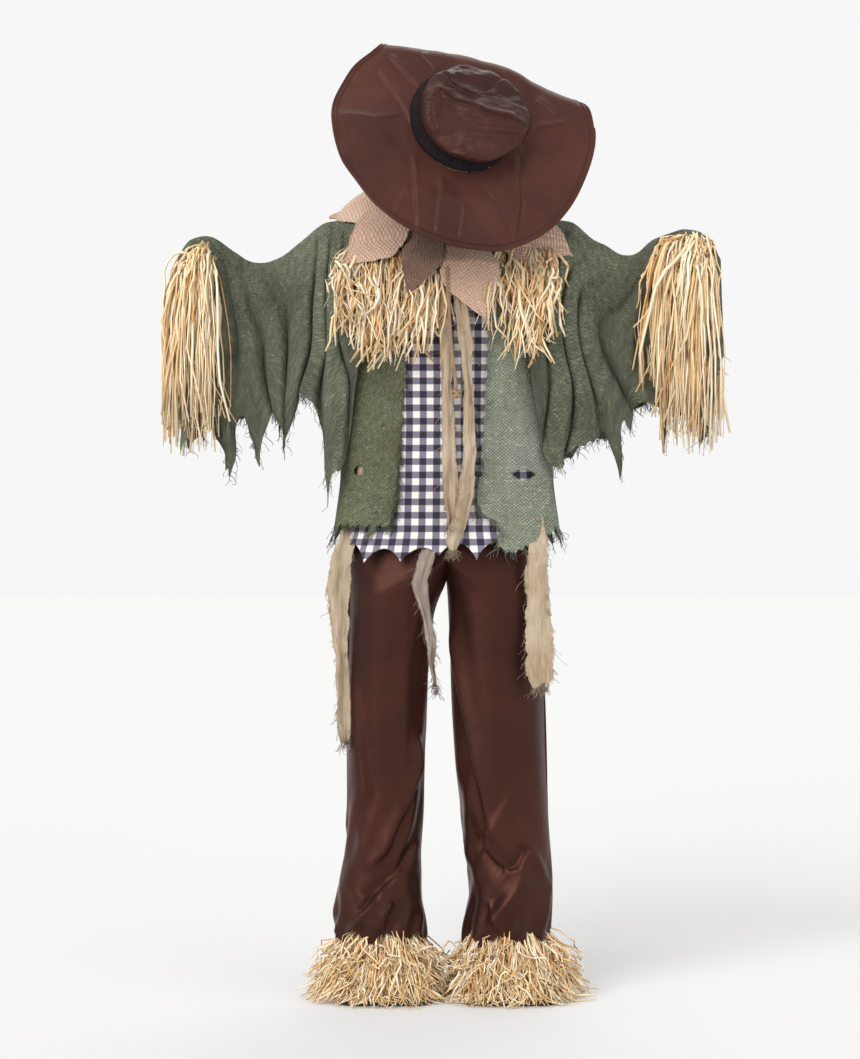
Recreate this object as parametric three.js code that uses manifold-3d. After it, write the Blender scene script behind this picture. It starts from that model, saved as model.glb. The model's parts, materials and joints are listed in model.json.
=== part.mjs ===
// A life-size standing scarecrow figure. A steel frame (base plate, two sectional leg poles, hip
// bracket, sectional spine, shoulder bracket, bent arm rods and a neck post) carries a moulded torso,
// a sack head with a floppy hat, ragged clothes and bundles of straw.
//
// Millimetres, +Z up. The figure faces -Y, and its own left hand is on the +X side. The origin is on
// the floor, at the middle of the underside of the base plate.
//
// Soft goods are plain closed shells here: a mid-surface function of (u, v) with a thickness.

import * as THREE from "three";
import { mergeVertices } from "three/addons/utils/BufferGeometryUtils.js";
import Module from "manifold-3d";

const wasm = await Module();
wasm.setup();

// ---------- Driving dimensions ----------
const GAP = 0.4; // between parts that only touch
const SIDES = [
  { name: "left", s: 1 },
  { name: "right", s: -1 },
];

// Base and poles
const PLATE = { t: 5, padX: 176, padY: 244, padR: 34, bridgeY: 64, pegHoleR: 4.5 };
const LEG_X = 118;
const POLE = { outer: 12.5, bore: 11, slimOuter: 10.6, slimBore: 9 };
const SOCKET = { flangeR: 34, flangeT: 4, outer: 16, top: 82, floor: 10 };
const LEG_JOIN_Z = 455;
const POLE_LAP = 60;
const HIP_Z = 868;
const HIP_BAR = { halfX: 136, depth: 40, t: 6 };
const CUP = { outer: 13.6, length: 55 };
const SPINE_JOIN_Z = 1160;
const BUTTON = { r: 3.8, hole: 4.3, proud: 3.6, flangeR: 5.2 };

// Shoulders, arms and neck
const SHOULDER_X = 225;
const SHOULDER_Z = 1436;
const SHOULDER_BAR = { depth: 26, height: 10 };
const EAR = { t: 5, gap: 8, r: 13, hole: 4.6 };
const ARM_ROD_R = 6;
const ARM_ELBOW = [345, 1358];
const ARM_END = [462, 1412];
const NECK_Z = 1508;
const NECK_POST_R = 9.6;

// Head and hat
const NECK_TURN = 0.18; // the head looks a little to its own left
const HEAD_PITCH = 0.585; // and down
const HEAD_AXIS_LENGTH = 150; // from the nod pin to the middle of the head
const HEAD = { halfX: 76, halfY: 88, halfZ: 108 };
const HAT_AXIS = new THREE.Vector3(0.2, -0.87, 0.45).normalize();
const HAT_OFFSET = 52; // from the middle of the head to the crown's base, along the hat's axis
const CROWN = { side: 96, fore: 112, height: 104 };
const BRIM = { side: 246, fore: 270, t: 3, foldAt: 98, foldR: 40, foldTurn: 2.0 };
const FOLD_DIRECTION = [0.345, 0.94]; // in the brim's plane: across, up

// Torso and clothes: elliptical sections, as [height, half width, half depth]
const TORSO_RINGS = [
  [890, 178, 84], [980, 172, 82], [1100, 168, 80], [1250, 172, 84], [1370, 178, 82],
  [1430, 176, 70], [1462, 150, 56], [1482, 100, 44],
];
const AROUND = 28; // sides of every section of the torso and the clothes on it
const TORSO_WALL = 3;
const SHIRT = { t: 2, out: 3.5, bottom: 862, rings: 6 };
const JACKET = { t: 3, out: 8.5, bottom: 872, rings: 7, openSides: 2 };
const ARMHOLE = [36, 40];

const CROTCH_Z = 800;
const TROUSER_WALL = 3;
// Rows of [height, middle x, half width, half depth] up each trouser leg; the two legs meet at the crotch
const TROUSER_LEGS = {
  left: [
    [128, 113, 83, 70], [205, 125, 78, 66], [420, 103, 88, 66], [623, 92, 90, 70],
    [740, 90, 91, 76], [CROTCH_Z, 92, 92, 80], [842, 72, 112, 82], [884, 62, 108, 74],
  ],
  right: [
    [128, 127, 86, 70], [205, 132, 79, 66], [289, 122, 68, 60], [420, 118, 74, 62], [623, 116, 74, 66],
    [740, 104, 82, 74], [CROTCH_Z, 92, 92, 80], [842, 72, 112, 82], [884, 62, 108, 74],
  ],
};

const FOOT_STRAW = { top: 198, neckR: 30, beltR: 115, beltZ: 62, footR: 108, outward: 1.2, deep: 1.1 };
const HAND_STRAW = { neckR: 20, halfDepth: 44 };
const CHEST_STRAW_Y = -112;

// ---------- Helpers ----------

/** A closed mesh geometry as a manifold solid. */
function solidOf(geometry) {
  const bare = geometry.clone();
  for (const key of ["normal", "uv"]) bare.deleteAttribute(key);
  const merged = mergeVertices(bare, 1e-3);
  return new wasm.Manifold(
    new wasm.Mesh({
      numProp: 3,
      vertProperties: merged.attributes.position.array,
      triVerts: new Uint32Array(merged.index.array),
    }),
  );
}

/** A manifold solid as a BufferGeometry. */
function geometryOf(solid) {
  const mesh = solid.getMesh();
  const count = mesh.numVert;
  const positions = new Float32Array(count * 3);
  for (let i = 0; i < count; i++) {
    positions.set(mesh.vertProperties.subarray(i * mesh.numProp, i * mesh.numProp + 3), i * 3);
  }
  const geometry = new THREE.BufferGeometry();
  geometry.setAttribute("position", new THREE.BufferAttribute(positions, 3));
  geometry.setIndex(new THREE.BufferAttribute(mesh.triVerts, 1));
  return geometry;
}

const joined = (...list) => geometryOf(list.map(solidOf).reduce((a, b) => a.add(b)));
const cut = (body, ...tools) => geometryOf(tools.map(solidOf).reduce((a, b) => a.subtract(b), solidOf(body)));

/** Turns a geometry's faces round if they point inwards. */
function facingOut(geometry) {
  const p = geometry.attributes.position;
  const index = geometry.index.array;
  const [a, b, c] = [new THREE.Vector3(), new THREE.Vector3(), new THREE.Vector3()];
  let volume = 0;
  for (let i = 0; i < index.length; i += 3) {
    a.fromBufferAttribute(p, index[i]);
    b.fromBufferAttribute(p, index[i + 1]);
    c.fromBufferAttribute(p, index[i + 2]);
    volume += a.dot(b.cross(c));
  }
  if (volume < 0) {
    for (let i = 0; i < index.length; i += 3) {
      [index[i + 1], index[i + 2]] = [index[i + 2], index[i + 1]];
    }
  }
  return geometry;
}

/**
 * A sheet of even thickness: mid(u, v) is its mid-surface for u and v from 0 to 1. closedU joins the
 * sheet's two u ends, as on a tube or a collar.
 */
function sheet(mid, thickness, nu, nv, closedU = false) {
  const positions = [];
  const index = [];
  const columns = closedU ? nu : nu + 1;
  const step = 1e-3;
  for (const side of [0.5, -0.5]) {
    for (let i = 0; i < columns; i++) {
      for (let j = 0; j <= nv; j++) {
        const u = i / nu;
        const v = j / nv;
        const point = mid(u, v);
        const back = Math.max(v - step, 0);
        const ahead = Math.min(v + step, 1);
        const alongU = mid(closedU ? (u + step) % 1 : Math.min(u + step, 1), v)
          .sub(mid(closedU ? (u - step + 1) % 1 : Math.max(u - step, 0), v));
        const alongV = mid(u, ahead).sub(mid(u, back));
        const normal = alongU.cross(alongV).normalize();
        point.addScaledVector(normal, thickness * side);
        positions.push(point.x, point.y, point.z);
      }
    }
  }
  const half = columns * (nv + 1);
  const at = (i, j, layer) => layer * half + (i % columns) * (nv + 1) + j;
  const quad = (a, b, c, d) => index.push(a, b, c, a, c, d);
  for (let i = 0; i < nu; i++) {
    for (let j = 0; j < nv; j++) {
      quad(at(i, j, 0), at(i + 1, j, 0), at(i + 1, j + 1, 0), at(i, j + 1, 0));
      quad(at(i, j, 1), at(i, j + 1, 1), at(i + 1, j + 1, 1), at(i + 1, j, 1));
    }
    quad(at(i, 0, 0), at(i, 0, 1), at(i + 1, 0, 1), at(i + 1, 0, 0));
    quad(at(i, nv, 0), at(i + 1, nv, 0), at(i + 1, nv, 1), at(i, nv, 1));
  }
  if (!closedU) {
    for (let j = 0; j < nv; j++) {
      quad(at(0, j, 0), at(0, j + 1, 0), at(0, j + 1, 1), at(0, j, 1));
      quad(at(nu, j, 0), at(nu, j, 1), at(nu, j + 1, 1), at(nu, j + 1, 0));
    }
  }
  const geometry = new THREE.BufferGeometry();
  geometry.setAttribute("position", new THREE.Float32BufferAttribute(positions, 3));
  geometry.setIndex(index);
  return facingOut(geometry);
}

/** A body of revolution about Z from [radius, height] pairs that close on themselves or on the axis. */
function turned(profile, sides = 12) {
  const points = profile.map(([r, z]) => new THREE.Vector2(r, z));
  const geometry = new THREE.LatheGeometry(points, sides).rotateX(Math.PI / 2);
  for (const key of ["normal", "uv"]) geometry.deleteAttribute(key);
  return facingOut(mergeVertices(geometry, 1e-3));
}

/** A round tube along Z, or a rod if bore is 0. */
function tube(outer, bore, z0, z1, sides = 12) {
  const profile = bore > 0
    ? [[bore, z0], [outer, z0], [outer, z1], [bore, z1], [bore, z0]]
    : [[0, z0], [outer, z0], [outer, z1], [0, z1]];
  return turned(profile, sides);
}

const box = (x, y, z, cx, cy, cz) => new THREE.BoxGeometry(x, y, z).translate(cx, cy, cz);
const rodX = (r, x0, x1, y, z, sides = 12) =>
  new THREE.CylinderGeometry(r, r, x1 - x0, sides).rotateZ(Math.PI / 2).translate((x0 + x1) / 2, y, z);
const rodY = (r, y0, y1, x, z, sides = 12) =>
  new THREE.CylinderGeometry(r, r, y1 - y0, sides).translate(x, (y0 + y1) / 2, z);
const rodZ = (r, z0, z1, x, y, sides = 12) =>
  new THREE.CylinderGeometry(r, r, z1 - z0, sides).rotateX(Math.PI / 2).translate(x, y, (z0 + z1) / 2);

/** A flat outline in the X-Z plane, given as [x, z] pairs, with its thickness along Y about y. */
function slab(outline, thickness, y) {
  const shape = new THREE.Shape(outline.map(([x, z]) => new THREE.Vector2(x, z)));
  const geometry = new THREE.ExtrudeGeometry(shape, { depth: thickness, bevelEnabled: false });
  return geometry.rotateX(Math.PI / 2).translate(0, y + thickness / 2, 0);
}

/** A value between the rows of a table of [height, ...values], by straight interpolation. */
function between(rows, z, k) {
  if (z <= rows[0][0]) return rows[0][k];
  for (let i = 1; i < rows.length; i++) {
    if (z <= rows[i][0]) {
      const t = (z - rows[i - 1][0]) / (rows[i][0] - rows[i - 1][0]);
      return rows[i - 1][k] + t * (rows[i][k] - rows[i - 1][k]);
    }
  }
  return rows[rows.length - 1][k];
}

/** A repeating saw: 1 at the tips, 0 at the notches. */
const zigzag = (x) => 1 - Math.abs(2 * (x - Math.floor(x)) - 1);

const figure = new THREE.Group();

const STEEL = { color: 0x26282b, roughness: 0.45, metalness: 0.6 };
const ZINC = { color: 0xa9adb0, roughness: 0.35, metalness: 0.9 };
const BLACK_PLASTIC = { color: 0x17181a, roughness: 0.6, metalness: 0 };
const MOULDED = { color: 0xb9a587, roughness: 0.7, metalness: 0 };
const HAT_CLOTH = { color: 0x5a3228, roughness: 0.45, metalness: 0 };
const RIBBON = { color: 0x1c1719, roughness: 0.7, metalness: 0 };
const BURLAP = { color: 0x8d6c53, roughness: 0.95, metalness: 0 };
const STRAW = { color: 0xd9b27a, roughness: 0.75, metalness: 0 };
const GAUZE = { color: 0x4f5f45, roughness: 0.95, metalness: 0 };
const TAN_GAUZE = { color: 0xb39a7c, roughness: 0.95, metalness: 0 };
const GINGHAM = { color: 0xa8a2a6, roughness: 0.9, metalness: 0 };
const SATIN = { color: 0x3b1f1a, roughness: 0.4, metalness: 0 };
const JUTE = { color: 0xa98461, roughness: 0.95, metalness: 0 };

function add(name, geometry, material, place) {
  const mesh = new THREE.Mesh(geometry, new THREE.MeshStandardMaterial(material));
  mesh.name = name;
  if (place) mesh.position.set(...place);
  figure.add(mesh);
  return mesh;
}

// ---------- Steel frame ----------

/** Two rounded foot pads and the bridge between them, cut from one plate, with four peg holes. */
function basePlate() {
  const pad = (s) => {
    const shape = new THREE.Shape();
    const [x0, x1] = [LEG_X - PLATE.padX / 2, LEG_X + PLATE.padX / 2];
    const [y0, y1, r] = [-PLATE.padY / 2, PLATE.padY / 2, PLATE.padR];
    shape.absarc(x1 - r, y1 - r, r, 0, Math.PI / 2);
    shape.absarc(x0 + r, y1 - r, r, Math.PI / 2, Math.PI);
    shape.absarc(x0 + r, y0 + r, r, Math.PI, 1.5 * Math.PI);
    shape.absarc(x1 - r, y0 + r, r, 1.5 * Math.PI, 2 * Math.PI);
    const solid = new THREE.ExtrudeGeometry(shape, { depth: PLATE.t, bevelEnabled: false, curveSegments: 4 });
    return s > 0 ? solid : solid.rotateZ(Math.PI);
  };
  const bridge = box(2 * LEG_X, PLATE.bridgeY, PLATE.t, 0, 0, PLATE.t / 2);
  const holes = [];
  for (const x of [-1, 1]) {
    for (const y of [-1, 1]) {
      holes.push(rodZ(PLATE.pegHoleR, -1, PLATE.t + 1, x * LEG_X, y * (PLATE.padY / 2 - 22), 8));
    }
  }
  return cut(joined(pad(1), pad(-1), bridge), ...holes);
}

add("base_plate", basePlate(), STEEL);

/** A flanged socket that holds the foot of a leg pole, with a cross hole for its thumb screw. */
function poleSocket() {
  const z0 = PLATE.t + GAP;
  const { flangeR, flangeT, outer, top, floor } = SOCKET;
  const bore = POLE.outer + 0.5;
  const body = turned([
    [0, z0], [flangeR, z0], [flangeR, z0 + flangeT], [outer, z0 + flangeT], [outer, top],
    [bore, top], [bore, floor], [0, floor],
  ]);
  return cut(body, rodY(3.5, 0, flangeR, 0, top - 22, 10));
}

/** A thumb screw along +Y: a shank that reaches the pole, and a lobed head. */
function thumbScrew() {
  const shank = rodY(3, POLE.outer + GAP, 30, 0, 0, 10);
  const head = rodY(9, 26, 36, 0, 0, 12);
  const wing = box(28, 5, 8, 0, 33, 0);
  return joined(shank, head, wing);
}

/** A tube with a round cross hole on +X for its spring button. */
const holedTube = (outer, bore, z0, z1, holeZ) =>
  cut(tube(outer, bore, z0, z1), rodX(BUTTON.hole, 2, outer + 5, 0, holeZ, 10));

/** A spring button: a domed pin through both tube walls, with a flange inside the slim tube. */
function springButton() {
  const flangeX = POLE.slimBore - 2.6;
  const pin = rodX(BUTTON.r, flangeX, POLE.outer + BUTTON.proud, 0, 0, 10);
  const flange = rodX(BUTTON.flangeR, flangeX - 1.6, flangeX, 0, 0, 10);
  return joined(pin, flange);
}

for (const { name, s } of SIDES) {
  const x = s * LEG_X;
  const turn = (mesh) => (mesh.rotation.z = s > 0 ? 0 : Math.PI);
  add(`pole_socket_${name}`, poleSocket(), STEEL, [x, 0, 0]);
  add(`socket_thumbscrew_${name}`, thumbScrew(), BLACK_PLASTIC, [x, 0, SOCKET.top - 22]);
  const lowTop = LEG_JOIN_Z + POLE_LAP / 2;
  const lower = holedTube(POLE.outer, POLE.bore, SOCKET.floor + GAP, lowTop, LEG_JOIN_Z);
  turn(add(`leg_pole_lower_${name}`, lower, STEEL, [x, 0, 0]));
  const upper = holedTube(POLE.slimOuter, POLE.slimBore, LEG_JOIN_Z - POLE_LAP / 2, HIP_Z - GAP, LEG_JOIN_Z);
  turn(add(`leg_pole_upper_${name}`, upper, ZINC, [x, 0, 0]));
  turn(add(`leg_spring_button_${name}`, springButton(), ZINC, [x, 0, LEG_JOIN_Z]));
}

/** A flat bar with two cups that drop over the leg poles and one cup that takes the spine. */
function hipBracket() {
  const bar = box(2 * HIP_BAR.halfX, HIP_BAR.depth, HIP_BAR.t, 0, 0, HIP_Z + HIP_BAR.t / 2);
  const legCups = SIDES.map(({ s }) =>
    tube(CUP.outer, POLE.slimOuter + 0.5, HIP_Z - CUP.length, HIP_Z + 1).translate(s * LEG_X, 0, 0));
  const top = HIP_Z + HIP_BAR.t;
  const spineCup = tube(POLE.outer + 3, POLE.outer + 0.5, top - 1, top + CUP.length);
  return joined(bar, ...legCups, spineCup);
}

add("hip_bracket", hipBracket(), STEEL);

const spineFoot = HIP_Z + HIP_BAR.t + GAP;
const spineLower = holedTube(POLE.outer, POLE.bore, spineFoot, SPINE_JOIN_Z + POLE_LAP / 2, SPINE_JOIN_Z);
add("spine_pole_lower", spineLower, STEEL).rotation.z = Math.PI / 2;
const barBottom = SHOULDER_Z - SHOULDER_BAR.height / 2;
const spineUpper = holedTube(POLE.slimOuter, POLE.slimBore, SPINE_JOIN_Z - POLE_LAP / 2, barBottom - GAP, SPINE_JOIN_Z);
add("spine_pole_upper", spineUpper, ZINC).rotation.z = Math.PI / 2;
add("spine_spring_button", springButton(), ZINC, [0, 0, SPINE_JOIN_Z]).rotation.z = Math.PI / 2;

/** The crossbar: a cup for the spine, a boss for the neck post, and a two-eared fork at each end. */
function shoulderBracket() {
  const reach = SHOULDER_X - EAR.r - 4;
  const bar = box(2 * reach, SHOULDER_BAR.depth, SHOULDER_BAR.height, 0, 0, SHOULDER_Z);
  const cup = tube(CUP.outer, POLE.slimOuter + 0.5, barBottom - CUP.length, barBottom + 1);
  const boss = tube(15, 0, SHOULDER_Z, SHOULDER_Z + 36);
  const ears = [];
  for (const { s } of SIDES) {
    for (const side of [-1, 1]) {
      const z = SHOULDER_Z + side * (EAR.gap / 2 + EAR.t / 2);
      const x = s * SHOULDER_X;
      ears.push(rodZ(EAR.r, z - EAR.t / 2, z + EAR.t / 2, x, 0, 16));
      ears.push(box(34, 2 * EAR.r, EAR.t, x - s * 17, 0, z));
    }
  }
  const holes = SIDES.map(({ s }) => rodZ(EAR.hole, SHOULDER_Z - 20, SHOULDER_Z + 20, s * SHOULDER_X, 0, 12));
  const neckBore = rodZ(NECK_POST_R + 0.5, SHOULDER_Z + 6, SHOULDER_Z + 40, 0, 0, 16);
  const screwHole = rodY(3.4, 0, 20, 0, SHOULDER_Z + 24, 10);
  return cut(joined(bar, cup, boss, ...ears), ...holes, neckBore, screwHole);
}

add("shoulder_bracket", shoulderBracket(), STEEL);

const neckScrew = joined(rodY(3, NECK_POST_R + GAP, 26, 0, 0, 10), rodY(8, 22, 31, 0, 0, 12));
add("neck_thumbscrew", neckScrew, BLACK_PLASTIC, [0, 0, SHOULDER_Z + 24]);

// ---------- Arms ----------

/** A bolt down through a shoulder fork: a low head above the ears and a shank through them. */
function shoulderBolt() {
  const top = SHOULDER_Z + EAR.gap / 2 + EAR.t + GAP;
  const head = rodZ(7.5, top, top + 5, 0, 0, 6);
  const shank = rodZ(EAR.hole - 0.5, SHOULDER_Z - 22, top + 1, 0, 0, 12);
  return joined(head, shank);
}

/** A wing nut that turns on the end of a bolt along Z, below height z. */
function wingNut(z) {
  const body = turned([[EAR.hole, z - 8], [8.5, z - 8], [8.5, z], [EAR.hole, z], [EAR.hole, z - 8]], 16);
  const wings = [-1, 1].map((s) => box(9, 3, 11, s * 11.5, 0, z - 8));
  return joined(body, ...wings);
}

/** A round bar of radius r along the arm, which dips to the elbow and rises to the hand. */
function alongArm(r, startX, extra, sides) {
  const [ex, ez] = ARM_ELBOW;
  const [hx, hz] = ARM_END;
  const path = new THREE.CurvePath();
  const elbow = new THREE.Vector3(ex, 0, ez);
  const shoulder = new THREE.Vector3(SHOULDER_X + 20, 0, SHOULDER_Z);
  const hand = new THREE.Vector3(hx, 0, hz);
  const inner = elbow.clone().lerp(shoulder, 0.35);
  const outer = elbow.clone().lerp(hand, 0.35);
  const start = elbow.clone().lerp(shoulder, (startX - ex) / (shoulder.x - ex));
  const end = elbow.clone().lerp(hand, 1 + extra);
  path.add(new THREE.LineCurve3(start, inner));
  path.add(new THREE.QuadraticBezierCurve3(inner, elbow, outer));
  path.add(new THREE.LineCurve3(outer, end));
  const section = new THREE.Shape().absarc(0, 0, r, 0, 2 * Math.PI);
  return new THREE.ExtrudeGeometry(section, { steps: 8, extrudePath: path, curveSegments: sides });
}

/** The arm: a flat eye on the shoulder bolt, then a bent rod. */
function armRod() {
  const eyeT = EAR.gap - 1.2;
  const eye = rodZ(EAR.r - 1, SHOULDER_Z - eyeT / 2, SHOULDER_Z + eyeT / 2, SHOULDER_X, 0, 16);
  const neck = box(26, 14, eyeT, SHOULDER_X + 15, 0, SHOULDER_Z);
  const hole = rodZ(EAR.hole, SHOULDER_Z - 10, SHOULDER_Z + 10, SHOULDER_X, 0, 12);
  return cut(joined(alongArm(ARM_ROD_R, SHOULDER_X + 20, 0, 5), eye, neck), hole);
}

/** A rounded plastic cap over the end of the arm rod. */
function armCap() {
  const bore = ARM_ROD_R + GAP;
  const cap = turned([[bore, -16], [9, -16], [9, 2], [6, 7], [0, 8], [0, 1], [bore, 1], [bore, -16]], 12);
  return atArmEnd(cap.rotateY(Math.PI / 2));
}

/** Turns a geometry built round the X axis to lie along the arm's last stretch, at its end. */
function atArmEnd(geometry) {
  const rise = Math.atan2(ARM_END[1] - ARM_ELBOW[1], ARM_END[0] - ARM_ELBOW[0]);
  return geometry.rotateY(-rise).translate(ARM_END[0], 0, ARM_END[1]);
}

/** The tie that binds the straw round the arm's end. */
const handTie = () => atArmEnd(new THREE.TorusGeometry(HAND_STRAW.neckR + 2.6, 2.2, 5, 14)
  .rotateY(Math.PI / 2).translate(-15, 0, 0));

/** The height of the sleeve's ragged lower edge at a distance along it, from 0 to 1. */
const sleeveHem = (t) => 1136 - 128 * zigzag(3.5 * t + 0.2) ** 1.4;

/** The sleeve: gauze draped over the arm rod, hanging in a flat curtain with ragged points. */
function sleeve() {
  const over = [[243, 1466], [268, 1444], [300, 1416], [345, 1396], [392, 1402], [420, 1418], [431, 1426]];
  const end = [[452, 1381], [430, 1356], [408, 1326]];
  const hem = [];
  const steps = 14;
  for (let i = 0; i <= steps; i++) {
    const t = 1 - i / steps;
    hem.push([243 + t * 165, sleeveHem(t)]);
  }
  return cut(slab([...over, ...end, ...hem].reverse(), 34, 0), alongArm(11, SHOULDER_X, 0.3, 4));
}

/** A hand: straw bound round the arm's end, which arches over it and hangs down. */
function handStraw() {
  const outline = [
    [462, 1440], [486, 1456], [512, 1446], [536, 1392], [549, 1300], [552, 1180], [546, 1096],
    [520, 1112], [500, 1056], [478, 1104], [452, 1062], [436, 1110], [418, 1140],
    [413, 1250], [416, 1318], [446, 1346], [470, 1396],
  ];
  const body = slab(outline.reverse(), 2 * HAND_STRAW.halfDepth, 0);
  const neck = atArmEnd(rodX(HAND_STRAW.neckR, -20, 16, 0, 0, 14));
  return cut(joined(body, neck), atArmEnd(rodX(9.8, -40, 11, 0, 0, 12)));
}

for (const { name, s } of SIDES) {
  const side = new THREE.Group();
  side.scale.x = s;
  figure.add(side);
  const put = (part, geometry, material) => side.add(add(`${part}_${name}`, geometry, material));
  put("shoulder_bolt", shoulderBolt().translate(SHOULDER_X, 0, 0), ZINC);
  put("shoulder_wing_nut", wingNut(SHOULDER_Z - EAR.gap / 2 - EAR.t - GAP).translate(SHOULDER_X, 0, 0), ZINC);
  put("arm_rod", armRod(), STEEL);
  put("arm_end_cap", armCap(), BLACK_PLASTIC);
  put("hand_tie", handTie(), JUTE);
  put("sleeve", sleeve(), GAUZE);
  put("hand_straw", handStraw(), STRAW);
}

// ---------- Neck, head and hat ----------

/** The neck post: a round post in the shoulder boss with a fork for the head's tongue on top. */
function neckPost() {
  const post = tube(NECK_POST_R, 0, SHOULDER_Z + 6 + GAP, NECK_Z - 16);
  const block = box(26, 26, 6, 0, 0, NECK_Z - 17);
  const ears = [-1, 1].map((s) => joined(
    box(5, 20, 20, s * 8.5, 0, NECK_Z - 10),
    rodX(10, s * 8.5 - 2.5, s * 8.5 + 2.5, 0, NECK_Z, 16),
  ));
  return cut(joined(post, block, ...ears), rodX(EAR.hole, -20, 20, 0, NECK_Z, 12)).rotateZ(NECK_TURN);
}

const headTurn = new THREE.Quaternion().setFromEuler(new THREE.Euler(HEAD_PITCH, 0, NECK_TURN, "ZYX"));
const headMiddle = new THREE.Vector3(0, 0, HEAD_AXIS_LENGTH).applyQuaternion(headTurn);
headMiddle.z += NECK_Z;
const inHead = (geometry) => geometry.applyQuaternion(headTurn).translate(...headMiddle.toArray());

add("neck_post", neckPost(), STEEL);
const neckBolt = joined(rodX(7, 11.4, 16, 0, NECK_Z, 6), rodX(EAR.hole - 0.5, -22, 12, 0, NECK_Z, 12));
add("neck_bolt", neckBolt.rotateZ(NECK_TURN), ZINC);
const neckNut = wingNut(0).rotateY(Math.PI / 2).translate(-11.4, 0, NECK_Z);
add("neck_wing_nut", neckNut.rotateZ(NECK_TURN), ZINC);

/** The head's stem: a flat tongue on the nod pin, and a rod up into the head. */
function headStem() {
  const tongue = joined(rodX(11, -5.4, 5.4, 0, 0, 16), box(10.8, 12, 24, 0, 0, 14));
  const rod = tube(8, 0, 20, HEAD_AXIS_LENGTH - 10);
  const stem = cut(joined(tongue, rod), rodX(EAR.hole, -20, 20, 0, 0, 12));
  return stem.applyQuaternion(headTurn).translate(0, 0, NECK_Z);
}

add("head_stem", headStem(), STEEL);

/** A point on the head's surface, grown by out, for u round the head and v from the neck up. */
function headPoint(u, v, out) {
  const angle = 2 * Math.PI * u;
  const polar = Math.PI * v;
  const jaw = 1 - 0.16 * Math.max(0, Math.cos(polar));
  const r = Math.sin(polar);
  return new THREE.Vector3(
    (HEAD.halfX + out) * jaw * r * Math.cos(angle),
    (HEAD.halfY + out) * jaw * r * Math.sin(angle),
    -(HEAD.halfZ + out) * Math.cos(polar),
  );
}

/** The moulded head, with a hole up its middle for the stem. */
function headForm() {
  const rows = [];
  const count = 7;
  for (let i = 0; i <= count; i++) {
    const p = headPoint(0, i / count, 0);
    rows.push([Math.max(p.x, 0), p.z]);
  }
  const round = turned(rows, 16).scale(1, HEAD.halfY / HEAD.halfX, 1);
  return cut(round, rodZ(8.6, -HEAD.halfZ - 5, -6, 0, 0, 12));
}

add("head_form", inHead(headForm()), MOULDED);
const hoodMid = (u, v) => headPoint(u, 0.13 + 0.8 * v, 4.6);
add("head_sack", inHead(sheet(hoodMid, 2.4, 16, 7, true)), BURLAP);
const sackTie = new THREE.TorusGeometry(1, 0.05, 5, 16).scale(48, 54, 48).translate(0, 0, -HEAD.halfZ * 0.86 - 6);
add("sack_tie", inHead(sackTie), JUTE);

// The hat's frame: across and up in the plane of the brim, and out along its axis.
const hatOut = HAT_AXIS;
const hatUp = new THREE.Vector3(0, 0, 1).addScaledVector(hatOut, -hatOut.z).normalize();
const hatAcross = hatUp.clone().cross(hatOut).normalize();
const hatCentre = headMiddle.clone().addScaledVector(hatOut, HAT_OFFSET);
const inHat = (x, y, z) => hatCentre.clone()
  .addScaledVector(hatAcross, x).addScaledVector(hatUp, y).addScaledVector(hatOut, z);

/** Bends the back of the brim away behind the head: a point past the fold line turns on a radius. */
function folded(x, y, z) {
  const past = x * FOLD_DIRECTION[0] + y * FOLD_DIRECTION[1] - BRIM.foldAt;
  if (past <= 0) return inHat(x, y, z);
  const turn = Math.min(past / BRIM.foldR, BRIM.foldTurn);
  const rest = past - BRIM.foldR * turn;
  const along = (BRIM.foldR + z) * Math.sin(turn) + rest * Math.cos(turn) - past;
  const back = (BRIM.foldR + z) * (1 - Math.cos(turn)) - z + rest * Math.sin(turn);
  return inHat(x + along * FOLD_DIRECTION[0], y + along * FOLD_DIRECTION[1], -back);
}

/** The brim's mid-surface: u round it, v from the crown to the edge. It cups a little. */
function brimPoint(u, v) {
  const angle = 2 * Math.PI * u;
  const [c, s] = [Math.cos(angle), Math.sin(angle)];
  const inner = [CROWN.side + 3, CROWN.fore + 3];
  const x = c * (inner[0] + v * (BRIM.side - inner[0]));
  const y = s * (inner[1] + v * (BRIM.fore - inner[1]));
  return folded(x, y, -10 * v * v);
}

add("hat_brim", sheet(brimPoint, BRIM.t, 32, 4, true), HAT_CLOTH);

/** The crown's mid-surface: u round it, v from its open base to the eyelet in its dented top. */
function crownPoint(u, v) {
  const angle = 2 * Math.PI * u;
  const wall = Math.min(v / 0.6, 1);
  const over = Math.max((v - 0.6) / 0.4, 0);
  const r = (1 - 0.12 * wall) * Math.cos(over * 1.53);
  const dent = 16 * over * over;
  const z = 6 + (CROWN.height - 26) * wall + 20 * Math.sin(over * Math.PI / 2) - dent;
  return inHat(CROWN.side * r * Math.cos(angle), CROWN.fore * r * Math.sin(angle), z);
}

add("hat_crown", sheet(crownPoint, 3, 20, 7, true), HAT_CLOTH);
const bandMid = (u, v) => {
  const angle = 2 * Math.PI * u;
  const wall = 1 - 0.12 * (v * 22) / (CROWN.height - 26);
  const r = (k) => (k + 3.4) * wall;
  return inHat(r(CROWN.side) * Math.cos(angle), r(CROWN.fore) * Math.sin(angle), 8 + 22 * v);
};
add("hat_band", sheet(bandMid, 1.2, 20, 1, true), RIBBON);

// ---------- Torso, shirt and jacket ----------

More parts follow.
